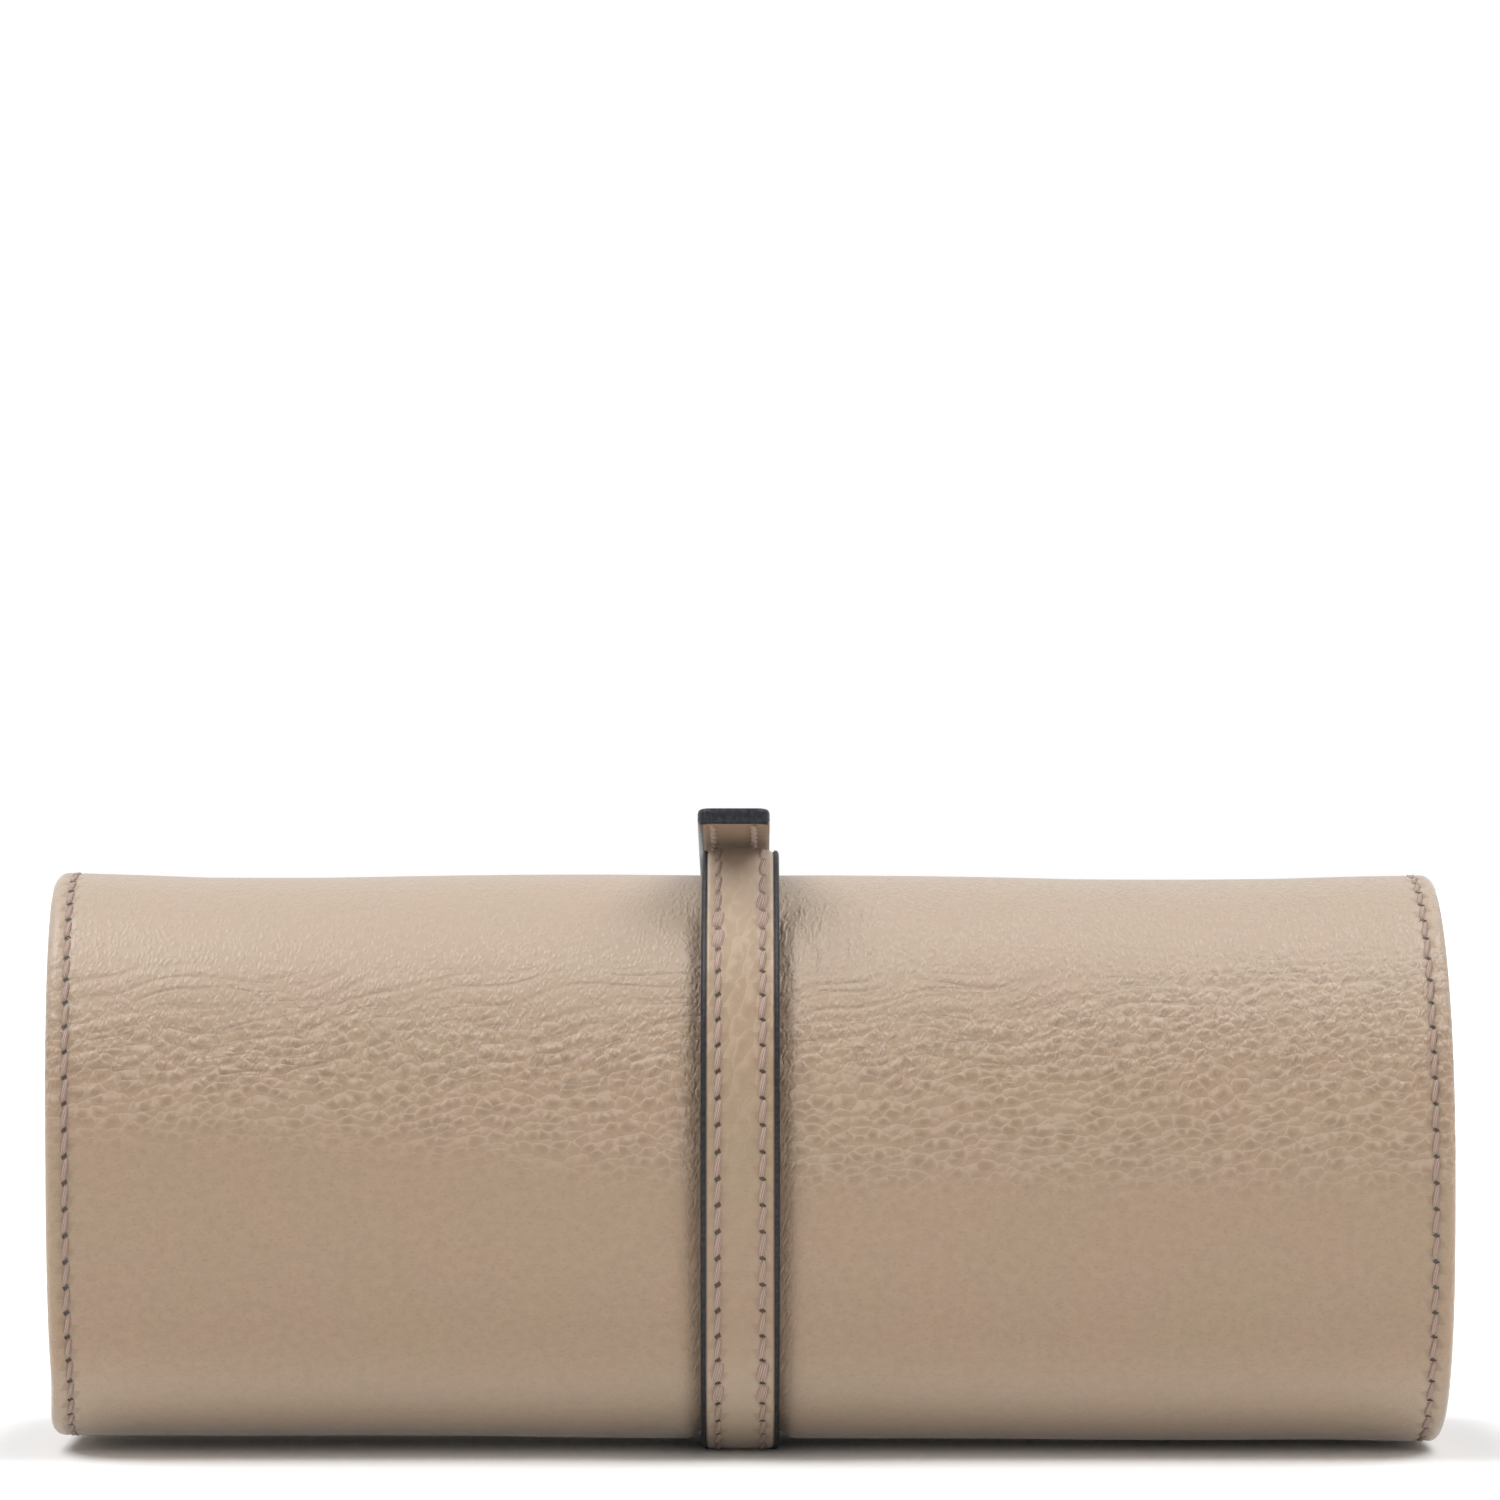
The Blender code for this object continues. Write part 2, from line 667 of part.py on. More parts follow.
def pull_frame(frame):
    """Frame on the pull's pin, under the bail."""
    return slider_frame(frame) @ Matrix.Translation((0.0, 0.0, BAIL_CLEAR_HEIGHT / 2))


def zip_pull(name, colour, body, frame):
    """Pull tag: its pin lies under the bail, its two arms pass beside it."""
    here = pull_frame(frame)
    half = PULL_THICKNESS / 2
    wide = PULL_WIDTH / 2
    taper_share = 0.72
    shoulder_share = 0.9
    outline = [(-half, -wide), (PULL_LENGTH * shoulder_share, -wide * taper_share),
               (PULL_LENGTH, -wide * taper_share / 2), (PULL_LENGTH, wide * taper_share / 2),
               (PULL_LENGTH * shoulder_share, wide * taper_share), (-half, wide)]
    pull = finish_object(name, prism(outline, -half, half, here), colour, body)
    slot = [(half, -PULL_SLOT_WIDTH / 2), (PULL_ARM_LENGTH, -PULL_SLOT_WIDTH / 2),
            (PULL_ARM_LENGTH, PULL_SLOT_WIDTH / 2), (half, PULL_SLOT_WIDTH / 2)]
    window = prism(slot, -PULL_THICKNESS, PULL_THICKNESS, here)
    cut(pull, finish_object(name + "_window", window, colour, body))
    eye_place = Matrix.Translation((PULL_LENGTH * shoulder_share - PULL_EYE_DIAMETER, 0.0, -PULL_THICKNESS))
    eye = disc(PULL_EYE_DIAMETER / 2, 2 * PULL_THICKNESS, SNAP_SIDES, here @ eye_place)
    cut(pull, finish_object(name + "_eye", eye, colour, body))
    return pull


def pocket_panel(name, zip_angle, bottom_angle, colour, body):
    """Cloth panel of the pocket: hemmed down at its ends and foot, open along the zip."""
    side = 1.0 if bottom_angle > zip_angle else -1.0
    mouth = angle_after(zip_angle, side * PANEL_SLIT)
    hem = angle_after(bottom_angle, -side * PANEL_HEM)
    inner_hem = angle_after(bottom_angle, -side * (PANEL_HEM + HEM_STEP))
    inner = spread(min(mouth, inner_hem), max(mouth, inner_hem), 7)
    places = [station(angle) for angle in (inner if side > 0 else inner[::-1])]
    places += [station(hem, 1.0), station(bottom_angle, 1.0)]
    places = places if side > 0 else places[::-1]
    half = PANEL_WIDTH / 2
    rings = mirrored([Ring(half, 1.0, 0.0, 0.0), Ring(half - PANEL_HEM, 1.0, 0.0, 0.0),
                      Ring(half - PANEL_HEM - HEM_STEP, 0.0, 0.0, 0.0)])
    turned = WALL + SEAT_GAP
    raised = WALL + chain_level()

    def outer(place, ring):
        return -turned if max(place.hem, ring.hem) else -raised

    def inner_face(place, ring):
        return -raised - PANEL_THICKNESS

    return finish_object(name, loft(places, rings, outer, inner_face), colour, body)


# Ring bar
def bar_frame():
    """Frame on the leaf's lining under the ring bar's hinged end: X, along the wall, inwards."""
    point, normal = wrap_point(BAR_ANGLE)
    start = Vector((BAR_OFFSET - BAR_LENGTH / 2, 0.0, 0.0))
    return plane_frame(point - normal * WALL + start, -normal)


def bar_axis_height():
    """Height of the ring bar's axis above the lining."""
    return SEAT_GAP + BAR_RADIUS


def turned(profile, sides, frame):
    """Solid of revolution about the frame's first axis, from (along, radius) points."""
    mesh = bmesh.new()
    loops = []
    for along_bar, radius in profile:
        if radius <= 0.0:
            loops.append([mesh.verts.new(frame @ Vector((along_bar, 0.0, 0.0)))])
            continue
        turn = 2 * math.pi / sides
        loops.append([mesh.verts.new(frame @ Vector((along_bar, radius * math.cos(turn * index),
                                                     radius * math.sin(turn * index))))
                      for index in range(sides)])
    for first, second in zip(loops, loops[1:]):
        for index in range(sides):
            after = (index + 1) % sides
            corners = [first[index % len(first)], first[after % len(first)],
                       second[after % len(second)], second[index % len(second)]]
            unique = list(dict.fromkeys(corners))
            mesh.faces.new(unique)
    bmesh.ops.remove_doubles(mesh, verts=mesh.verts, dist=WELD_DISTANCE)
    return mesh


def dome(radius, centre, direction):
    """Points of a half circle from the equator to the pole, as (along, radius)."""
    quarter = math.pi / 2
    made = []
    for index in range(BAR_END_STEPS + 1):
        turn = quarter * index / BAR_END_STEPS
        reach = radius * math.cos(turn) if index < BAR_END_STEPS else 0.0
        made.append((centre + direction * radius * math.sin(turn), reach))
    return made


def ring_bar(colours, body):
    """Padded bar for rings: a sewn cover with an open seam end, and its filling."""
    frame = bar_frame() @ Matrix.Translation((0.0, 0.0, bar_axis_height()))
    inner = BAR_RADIUS - BAR_COVER
    outside = [point for point in dome(BAR_RADIUS, 0.0, -1.0) if point[1] > 0.0][::-1]
    outside += dome(BAR_RADIUS, BAR_LENGTH, 1.0)
    inside = [point for point in dome(inner, 0.0, -1.0) if point[1] > 0.0][::-1]
    inside += dome(inner, BAR_LENGTH, 1.0)
    cover = turned(inside[::-1] + outside, BAR_SIDES, frame)
    finish_object("ring_bar_cover", cover, colours[0], body)
    core = inner - SEAT_GAP
    filling = dome(core, 0.0, -1.0)[::-1] + dome(core, BAR_LENGTH, 1.0)
    finish_object("ring_bar_filling", turned(filling, BAR_SIDES, frame), colours[1], body)


def wall_rise(angle, half_width):
    """How far the curved wall stands up inside beside this angle, at this distance from it."""
    foot, normal = wrap_point(angle)
    rises = []
    for distance in (-half_width, half_width):
        point, outward = wrap_point(angle_after(angle, distance))
        rises.append(((point - outward * WALL) - (foot - normal * WALL)).dot(-normal))
    return max(rises)


def bent_tab(name, frame, direction, level, length, colour, body):
    """Leather tab that follows a round bar end down and bends out flat at this level."""
    reach = BAR_RADIUS + SEAT_GAP
    steps = 4
    hold = math.radians(TAB_HOLD_ANGLE)
    runs = []
    for index in range(steps):
        turn = hold * (1 - index / steps)
        runs.append((reach * math.cos(turn), bar_axis_height() + reach * math.sin(turn), turn))
    bend = TAB_THICKNESS + TAB_BEND
    for index in range(steps + 1):
        turn = math.pi / 2 * index / steps
        runs.append((reach + bend * (1 - math.cos(turn)), level + bend * (1 - math.sin(turn)), turn))
    runs.append((reach + length, level, math.pi / 2))
    places = []
    for x, z, turn in runs:
        normal = frame.to_3x3() @ Vector((direction * math.cos(turn), 0.0, math.sin(turn)))
        places.append(Station(frame @ Vector((direction * x, 0.0, z)), normal, 0.0, 0.0, 0.0, 0.0, 0.0, 1.0))
    rings = [Ring(-TAB_WIDTH / 2, 0.0, 0.0, 0.0), Ring(TAB_WIDTH / 2, 0.0, 0.0, 0.0)]
    across = frame.to_3x3() @ Vector((0.0, 1.0, 0.0))
    mesh = loft(places, rings, lambda place, ring: TAB_THICKNESS, lambda place, ring: 0.0, across)
    return finish_object(name, mesh, colour, body)


def snap_frame():
    """Frame on the lining under the snap, with its first axis pointing inwards."""
    reach = BAR_LENGTH + BAR_RADIUS + SEAT_GAP + TAB_LENGTH - SOCKET_RADIUS - SEAT_GAP
    upright = Matrix.Rotation(math.radians(-90.0), 4, "Y")
    return bar_frame() @ Matrix.Translation((reach, 0.0, 0.0)) @ upright


def stud_level():
    """Height of the stud's underside above the lining."""
    return SEAT_GAP + wall_rise(BAR_ANGLE, STUD_RADIUS)


def socket_level():
    """Height of the snap socket's underside above the lining."""
    return stud_level() + STUD_BASE + SEAT_GAP


def snap_stud(colour, body):
    """Stud riveted through the leaf's lining."""
    low = stud_level()
    base = low + STUD_BASE
    profile = [(low, 0.0), (low, STUD_RADIUS), (base, STUD_RADIUS), (base, STUD_POST_RADIUS),
               (base + STUD_POST, STUD_POST_RADIUS), (base + STUD_POST, 0.0)]
    return finish_object("snap_stud", turned(profile, SNAP_SIDES, snap_frame()), colour, body)


def snap_socket(colour, body):
    """Socket ring riveted under the snap tab, with running clearance round the stud's post."""
    low = socket_level()
    high = low + SOCKET_THICKNESS
    bore = STUD_POST_RADIUS + SEAT_GAP
    profile = [(low, bore), (low, SOCKET_RADIUS), (high, SOCKET_RADIUS), (high, bore), (low, bore)]
    return finish_object("snap_socket", turned(profile, SNAP_SIDES, snap_frame()), colour, body)


# Bodies, from the bottom round the front to the leaf, and from the bottom up the back
def strap_axis(angle):
    """Fold axis where the strap runs: on the strap's outer face."""
    point, normal = wrap_point(angle)
    return point + normal * (STRAP_PROUD + AXIS_GAP)


def leather_axis(angle):
    """Fold axis where no strap runs: on the leather's outer face."""
    point, normal = wrap_point(angle)
    return point + normal * AXIS_GAP


def fold_segment(name, start, end, steps, colours, body, padded, dented=True, free_edge=None):
    """Leather and lining of one fold segment, with its foam where it is a flat panel."""
    places = leather_segment(start, end, steps, free_edge)
    leather_piece(name + "_leather", places, dented, colours["leather"], body)
    inner = lining_segment(start, end, steps, free_edge)
    lining_piece(name + "_lining", inner, colours["lining"], body)
    if padded:
        padding_piece(name + "_padding", inner, colours["foam"], body)


def zip_pocket(name, zip_angle, bottom_angle, colours, body):
    """Zip pocket on the inside of one panel, with its slider and pull as bodies of their own."""
    frame = inside_frame(zip_angle)
    side = 1.0 if bottom_angle > zip_angle else -1.0
    pocket_panel(name + "_pocket_panel", zip_angle, bottom_angle, colours["lining"], body)
    zip_tape(name + "_zip_tape_pocket", zip_angle, side, colours["tape"], body)
    zip_tape(name + "_zip_tape_outer", zip_angle, -side, colours["tape"], body)
    zip_chain(name + "_zip_chain", colours["chain"], body, frame)
    slider_body = make_body(name + "_slider_body", slider_frame(frame).translation, body)
    zip_slider(name + "_zip_slider", colours["metal"], slider_body, frame)
    pull_body = make_body(name + "_pull_body", pull_frame(frame).translation, slider_body)
    zip_pull(name + "_zip_pull", colours["metal"], pull_body, frame)


def bottom_body(colours):
    """Bottom of the roll, which stands on the strap."""
    body = make_body("bottom_body", CENTRE + Vector((0.0, 0.0, -flat_drop())))
    fold_segment("bottom", BACK_CORNER_ANGLE, FRONT_CORNER_ANGLE, 5, colours, body, True)
    places = segment(BACK_CORNER_ANGLE, FRONT_CORNER_ANGLE, 5)
    strap_plies("strap_under", places, colours["strap"], body)
    return body


def front_bodies(colours, bottom):
    """Front corner, front panel with its pocket, top and leaf, each folded on the one before."""
    corner = make_body("front_corner_body", strap_axis(FRONT_CORNER_ANGLE), bottom)
    fold_segment("front_corner", FRONT_CORNER_ANGLE, FRONT_ANGLE, 5, colours, corner, False)
    strap_plies("strap_front_corner", segment(FRONT_CORNER_ANGLE, FRONT_ANGLE, 5), colours["strap"], corner)

    front = make_body("front_body", strap_axis(FRONT_ANGLE), corner)
    fold_segment("front", FRONT_ANGLE, TOP_FRONT_ANGLE, 6, colours, front, True)
    strap_plies("strap_front", segment(FRONT_ANGLE, TOP_FRONT_ANGLE, 6), colours["strap"], front)
    zip_pocket("front", FRONT_ZIP_ANGLE, FRONT_POCKET_ANGLE, colours, front)

    top = make_body("top_front_body", strap_axis(TOP_FRONT_ANGLE), front)
    fold_segment("top_front", TOP_FRONT_ANGLE, TOP_BACK_ANGLE, 8, colours, top, False)
    plies = strap_plies("strap_short_end", short_end_stations(), colours["strap"], top)
    place = lifted_station(SHORT_MAGNET_ANGLE)
    magnet("short_end_magnet", place, STRAP_OFFSET, plies, colours["metal"], top)

    back = make_body("top_back_body", leather_axis(TOP_BACK_ANGLE), top)
    fold_segment("top_back", TOP_BACK_ANGLE, LEAF_ANGLE, 6, colours, back, False, False)

    leaf = make_body("leaf_body", leather_axis(LEAF_ANGLE), back)
    fold_segment("leaf", LEAF_ANGLE, LEAF_EDGE_ANGLE, 5, colours, leaf, False, False, LEAF_EDGE_ANGLE)
    return leaf


def ring_bar_bodies(colours, leaf):
    """Ring bar with its anchor tab and stud on the leaf, and its snap tab and socket on the bar."""
    frame = bar_frame()
    seat = SEAT_GAP + wall_rise(BAR_ANGLE, TAB_WIDTH / 2)
    bent_tab("ring_bar_anchor", frame, -1.0, seat, ANCHOR_LENGTH, colours["leather"], leaf)
    snap_stud(colours["metal"], leaf)
    pivot = (frame @ Matrix.Translation((0.0, 0.0, bar_axis_height()))).translation
    body = make_body("ring_bar_body", pivot, leaf)
    ring_bar((colours["lining"], colours["foam"]), body)
    level = socket_level() + SOCKET_THICKNESS + SEAT_GAP
    far_end = frame @ Matrix.Translation((BAR_LENGTH, 0.0, 0.0))
    bent_tab("snap_tab", far_end, 1.0, level, TAB_LENGTH, colours["leather"], body)
    snap_socket(colours["metal"], body)


def back_bodies(colours, bottom):
    """Back corner and back flap with its pocket, then the strap's tail and tip."""
    corner = make_body("back_corner_body", strap_axis(BACK_CORNER_ANGLE), bottom)
    fold_segment("back_corner", FLAP_ANGLE, BACK_CORNER_ANGLE, 5, colours, corner, False)
    strap_plies("strap_back_corner", segment(FLAP_ANGLE, BACK_CORNER_ANGLE, 5), colours["strap"], corner)

    flap = make_body("back_flap_body", strap_axis(FLAP_ANGLE), corner)
    fold_segment("back_flap", FLAP_EDGE_ANGLE, FLAP_ANGLE, 6, colours, flap, True, True, FLAP_EDGE_ANGLE)
    strap_plies("strap_back", segment(FLAP_EDGE_ANGLE, FLAP_ANGLE, 6), colours["strap"], flap)
    zip_pocket("back", BACK_ZIP_ANGLE, BACK_POCKET_ANGLE, colours, flap)

    tail = make_body("strap_tail_body", strap_axis(FLAP_EDGE_ANGLE), flap)
    strap_plies("strap_tail", tail_stations(), colours["strap"], tail, centre=STRAP_OFFSET)

    root, ahead, normal = tip_line()
    tip = make_body("strap_tip_body", root + normal * (STRAP_PROUD + AXIS_GAP), tail)
    plies = strap_plies("strap_tip", tip_stations(), colours["strap"], tip, TIP_WIDTH, TIP_OFFSET)
    reach = (root.y + TIP_REACH) / -ahead.y - MAGNET_INSET
    place = Station(root + ahead * reach, normal, 0.0, 0.0, 0.0, 0.0, 0.0, 1.0)
    magnet("tip_magnet", place, TIP_OFFSET, plies, colours["metal"], tip)


def build():
    """Build every sub-part of the jewellery roll."""
    clear_scene()
    leather = material("pebbled_leather", (0.52, 0.41, 0.31), 0.55)
    strap_face = material("strap_leather", (0.50, 0.40, 0.30), 0.5)
    strap_back = material("strap_backing_leather", (0.46, 0.36, 0.27), 0.6)
    colours = {
        "leather": leather,
        "strap": (strap_face, strap_back),
        "lining": material("suede_lining", (0.58, 0.49, 0.39), 0.9),
        "foam": material("foam", (0.80, 0.78, 0.72), 0.95),
        "tape": material("zip_tape", (0.45, 0.37, 0.29), 0.85),
        "chain": material("zip_chain", (0.40, 0.33, 0.26), 0.5),
        "metal": material("nickel", (0.72, 0.71, 0.69), 0.25, 1.0),
    }
    bottom = bottom_body(colours)
    leaf = front_bodies(colours, bottom)
    ring_bar_bodies(colours, leaf)
    back_bodies(colours, bottom)


build()
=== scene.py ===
import math

import bpy
import numpy as np
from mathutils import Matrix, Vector


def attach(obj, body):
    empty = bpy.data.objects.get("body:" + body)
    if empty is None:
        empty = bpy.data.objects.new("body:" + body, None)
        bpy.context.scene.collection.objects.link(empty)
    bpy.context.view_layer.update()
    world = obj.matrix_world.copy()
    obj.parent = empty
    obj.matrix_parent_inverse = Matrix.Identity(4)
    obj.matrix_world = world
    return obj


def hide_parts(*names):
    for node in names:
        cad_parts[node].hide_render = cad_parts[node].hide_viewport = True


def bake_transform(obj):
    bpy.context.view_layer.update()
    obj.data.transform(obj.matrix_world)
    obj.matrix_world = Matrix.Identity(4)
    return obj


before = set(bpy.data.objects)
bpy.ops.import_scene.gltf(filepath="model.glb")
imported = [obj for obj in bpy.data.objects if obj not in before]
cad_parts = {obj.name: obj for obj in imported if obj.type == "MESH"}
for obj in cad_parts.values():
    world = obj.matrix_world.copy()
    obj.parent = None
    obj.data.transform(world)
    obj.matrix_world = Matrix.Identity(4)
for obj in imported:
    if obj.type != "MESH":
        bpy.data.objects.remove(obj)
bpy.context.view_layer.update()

# Outer leather. One sheet of pebbled cowhide is wrapped from the back flap under the roll, up its
# front and over the top to the leaf. Its ends are turned over a foam core, which makes them round,
# and it is pressed in where the strap lies.
MM = 0.001
ROLL_HALF_WIDTH = 115 * MM
HALF_DEPTH = 36 * MM
LEAF_HALF_DEPTH = 31.5 * MM
HALF_HEIGHT = 47.3 * MM
UPPER_POWER = 2.0
LOWER_POWER = 2.7
FLAT_ANGLE = 10.0
FLAP_ANGLE, LEAF_ANGLE = -210, 172
WALL = 3.9 * MM
LAYER_GAP = 0.6 * MM
EDGE_RADIUS = WALL / 2
LEATHER_DEPTH = 1.8 * MM
HEM_WIDTH = 8 * MM
HEM_STEP = 0.4 * MM
SEWN_INSET = 3.4 * MM
STITCH_PITCH = 4.3 * MM
STRAP_CENTRE = -1.6 * MM
STRAP_HALF_WIDTH = 6.5 * MM
STRAP_PROUD = 1.8 * MM
DENT_DEPTH = 1.15 * MM
SHORT_END_FREE = 50.0
SHORT_END = 82.0
SHORT_END_LIFT = 3.1 * MM
LINE_STEP = 0.25 * MM


def bent_outline(angles):
    """Points (y, z) of a rounded section where its outward normal stands at these angles."""
    over_leaf = angles < -180
    facing = np.where(over_leaf, angles + 360, angles)
    depth = np.where(facing > 90, LEAF_HALF_DEPTH, HALF_DEPTH)
    power = np.where(facing < 0, LOWER_POWER, UPPER_POWER)
    turn = np.radians(facing)
    ny, nz = -np.cos(turn), np.sin(turn)
    exponent = 1 / (2 - 2 / power)
    sweep = np.arctan2((HALF_HEIGHT * abs(nz)) ** exponent, (depth * abs(ny)) ** exponent)
    y = np.copysign(depth * np.cos(sweep).clip(0, 1) ** (2 / power), ny)
    z = np.copysign(HALF_HEIGHT * np.sin(sweep).clip(0, 1) ** (2 / power), nz)
    stand = np.where(over_leaf, WALL + LAYER_GAP, 0)
    return y + ny * stand, z + nz * stand


flat_level = bent_outline(np.array([FLAT_ANGLE - 90]))[1][0]
bend_angles = np.arange(-216, 178, 0.02)
bend_y, bend_z = bent_outline(bend_angles)
bend_z = np.maximum(bend_z, flat_level) - flat_level + STRAP_PROUD
bend_run = np.concatenate([[0], np.cumsum(np.hypot(np.diff(bend_y), np.diff(bend_z)))])
bend_run -= np.interp(0, bend_angles, bend_run)
wrap_run = np.arange(bend_run[0], bend_run[-1], LINE_STEP)


def softened(values):
    """A line of values with its corners eased over two millimetres."""
    return np.convolve(np.pad(values, 4, mode="reflect", reflect_type="odd"), np.ones(9) / 9, "valid")


def line_and_normal(places, run, y, z):
    """A line eased at even places: its y and z, and its outward normal's."""
    y, z = softened(np.interp(places, run, y)), softened(np.interp(places, run, z))
    return y, z, -softened(np.gradient(z, places)), softened(np.gradient(y, places))


def laid_along(line, places, across, run, height):
    """Points at this height over a line that runs along a bent strip."""
    y, z, ny, nz = [np.interp(run, places, values) for values in line]
    size = np.hypot(ny, nz)
    return np.stack([across + 0 * run, y + ny / size * height, z + nz / size * height], -1)


wrap_line = line_and_normal(wrap_run, bend_run, bend_y, bend_z)


def run_at(angle):
    """Length along the sheet at which its normal stands at this angle."""
    return float(np.interp(angle, bend_angles, bend_run))


def angle_at(run):
    """Angle at which the sheet's normal stands at this length along it."""
    return np.interp(run, bend_run, bend_angles)


def eased(values):
    """Smooth rise from 0 to 1."""
    share = np.clip(values, 0, 1)
    return share * share * (3 - 2 * share)


def bell(value, width):
    """A round hump, 1 in its middle."""
    return np.exp(-(value / width) ** 2)


LEFT_DRIFT_HIGH, LEFT_DRIFT_LOW, RIGHT_DRIFT = 1.9 * MM, 1.1 * MM, 0.3 * MM


def end_drift(across, run):
    """How far the sheet's ends were cut and rolled wider than square, most at the top left."""
    angle = angle_at(run)
    high = eased((angle + 15) / 100) * (1 - eased((angle - 110) / 60))
    left = LEFT_DRIFT_HIGH * high + LEFT_DRIFT_LOW * eased((-30 - angle) / 45)
    return np.where(across < 0, -left, RIGHT_DRIFT * (1 - high)) * eased(abs(across) / ROLL_HALF_WIDTH)


def on_wrap(across, run, height):
    """Points of the wrapped sheet, at this height over its outside."""
    return laid_along(wrap_line, wrap_run, across + end_drift(across, run), run, height)


FLAP_RUN, LEAF_RUN = run_at(FLAP_ANGLE), run_at(LEAF_ANGLE)


def strap_hold(run):
    """Share of the strap's pressure on the leather, which fades where its short end lifts off."""
    return 1 - eased((angle_at(run) - SHORT_END_FREE + 4) / 14)


def swell(across, run, height, widths):
    """Slow unevenness of a soft sheet, from a few crossed waves."""
    total = 0
    for number, width in enumerate(widths):
        turn = 0.7 + 1.9 * number
        total = total + np.sin((across * math.cos(turn) + run * math.sin(turn)) / width + 2.3 * number)
    return total * height / len(widths)


BED_SPREAD, SLOPE_DEPTH, SLOPE_REACH = 1.1 * MM, 0.2 * MM, 9 * MM
PUCKER, GROOVE, DRAWN_IN, SAG, FOOT_LEAN = 0.08 * MM, 0.28 * MM, 0.05 * MM, 0.35 * MM, 0.5 * MM
TOP_PLACES = np.array([-115, -108, -90, -70, -22, 0, 12, 55, 88, 112, 115]) * MM
TOP_DIPS = np.array([0.4, 0.2, -0.35, -0.4, 0, 0, 0, -0.7, -0.5, -0.1, 0]) * MM


def leather_relief(across, run):
    """How far the outside stands proud of its plain wrap: strap bed, puckers, sewn groove, sag."""
    angle, hold = angle_at(run), strap_hold(run)
    beside = np.maximum(abs(across - STRAP_CENTRE) - STRAP_HALF_WIDTH, 0)
    spread = BED_SPREAD + BED_SPREAD * eased((angle + 75) / 30)
    relief = -DENT_DEPTH * hold * bell(beside, spread) - SLOPE_DEPTH * hold * np.exp(-beside / SLOPE_REACH)
    pull = hold * np.exp(-beside / (3 * MM)) * eased(beside / (0.8 * MM))
    ripple = np.sin(run / (0.55 * MM) + abs(across) / (0.7 * MM) + 2 * np.sin(run / (6 * MM)))
    relief = relief + PUCKER * pull * ripple * (0.6 + 0.4 * np.sin(run / (2.9 * MM)))
    end = ROLL_HALF_WIDTH - abs(across)
    drawn = np.cos(2 * math.pi * run / STITCH_PITCH)
    relief = relief - GROOVE * bell(end - SEWN_INSET, 0.7 * MM)
    relief = relief - DRAWN_IN * drawn * bell(end - SEWN_INSET, 1.4 * MM)
    inner = eased((end - 6 * MM) / (18 * MM))
    relief = relief + inner * swell(across, run, SAG, (9 * MM, 14 * MM, 6 * MM, 21 * MM))
    relief = relief + bell(angle - 88, 34) * np.interp(across, TOP_PLACES, TOP_DIPS)
    return relief + bell(angle + 80, 28) * FOOT_LEAN * across / ROLL_HALF_WIDTH


def picked(piece):
    """Leaves one piece selected and active, for the next operator; none where no piece is given."""
    if bpy.context.object and bpy.context.object.mode != "OBJECT":
        bpy.ops.object.mode_set(mode="OBJECT")
    bpy.ops.object.select_all(action="DESELECT")
    if piece:
        bpy.context.view_layer.objects.active = piece
        piece.select_set(True)


def mended(piece, weld=0, fill=False, flatten=0):
    """Welds points, fills cut ends and joins flat faces as asked, and turns all faces outwards."""
    picked(piece)
    bpy.ops.object.mode_set(mode="EDIT")
    steps = [(bpy.ops.mesh.remove_doubles, {"threshold": weld})] * bool(weld)
    steps += [(bpy.ops.mesh.fill_holes, {"sides": 0})] * fill
    steps += [(bpy.ops.mesh.dissolve_limited, {"angle_limit": flatten})] * bool(flatten)
    for operator, settings in steps + [(bpy.ops.mesh.normals_make_consistent, {"inside": False})]:
        bpy.ops.mesh.select_all(action="SELECT")
        operator(**settings)
    bpy.ops.object.mode_set(mode="OBJECT")


def sheet_grid(name, columns, rows):
    """A plain grid, and the column and row number of each of its points."""
    picked(None)
    bpy.ops.mesh.primitive_grid_add(x_subdivisions=columns - 1, y_subdivisions=rows - 1, size=1)
    sheet = bpy.context.object
    sheet.name = sheet.data.name = name
    place = np.empty(len(sheet.data.vertices) * 3)
    sheet.data.vertices.foreach_get("co", place)
    place = place.reshape(-1, 3) + 0.5
    column = np.rint(place[:, 0] * (columns - 1)).astype(int)
    row = np.rint(place[:, 1] * (rows - 1)).astype(int)
    return sheet, column, row


def laid_out(sheet, points, pattern, angle=50):
    """Moves a grid's points to their places, gives it a pattern map in metres, closes and shades it."""
    sheet.data.vertices.foreach_set("co", np.ascontiguousarray(points, dtype=float).ravel())
    corner = np.empty(len(sheet.data.loops), dtype=int)
    sheet.data.loops.foreach_get("vertex_index", corner)
    sheet.data.uv_layers[0].data.foreach_set("uv", np.ascontiguousarray(pattern[corner], dtype=float).ravel())
    sheet.data.update()
    mended(sheet, weld=0.002 * MM, fill=True)
    bpy.ops.object.shade_smooth_by_angle(angle=math.radians(angle))
    return sheet


def spaced(marks, steps):
    """Even places between marks, at about these steps."""
    made = [marks[0]]
    for low, high, step in zip(marks, marks[1:], steps):
        count = max(1, round((high - low) / step))
        made += [low + (high - low) * (index + 1) / count for index in range(count)]
    return np.array(made)


ARC_STEPS = 7
FINE_STEP, PLAIN_STEP = 0.5 * MM, 0.95 * MM
BED_HALF_WIDTH = 12 * MM
INSIDE_COLUMNS = 60


def from_edge(x, s, half_width, start, end, free):
    """Distance from a plate's nearest edge; free says which of its two ends count."""
    near = half_width - abs(x)
    near = np.minimum(near, s - start) if free[0] else near
    return np.minimum(near, end - s) if free[1] else near


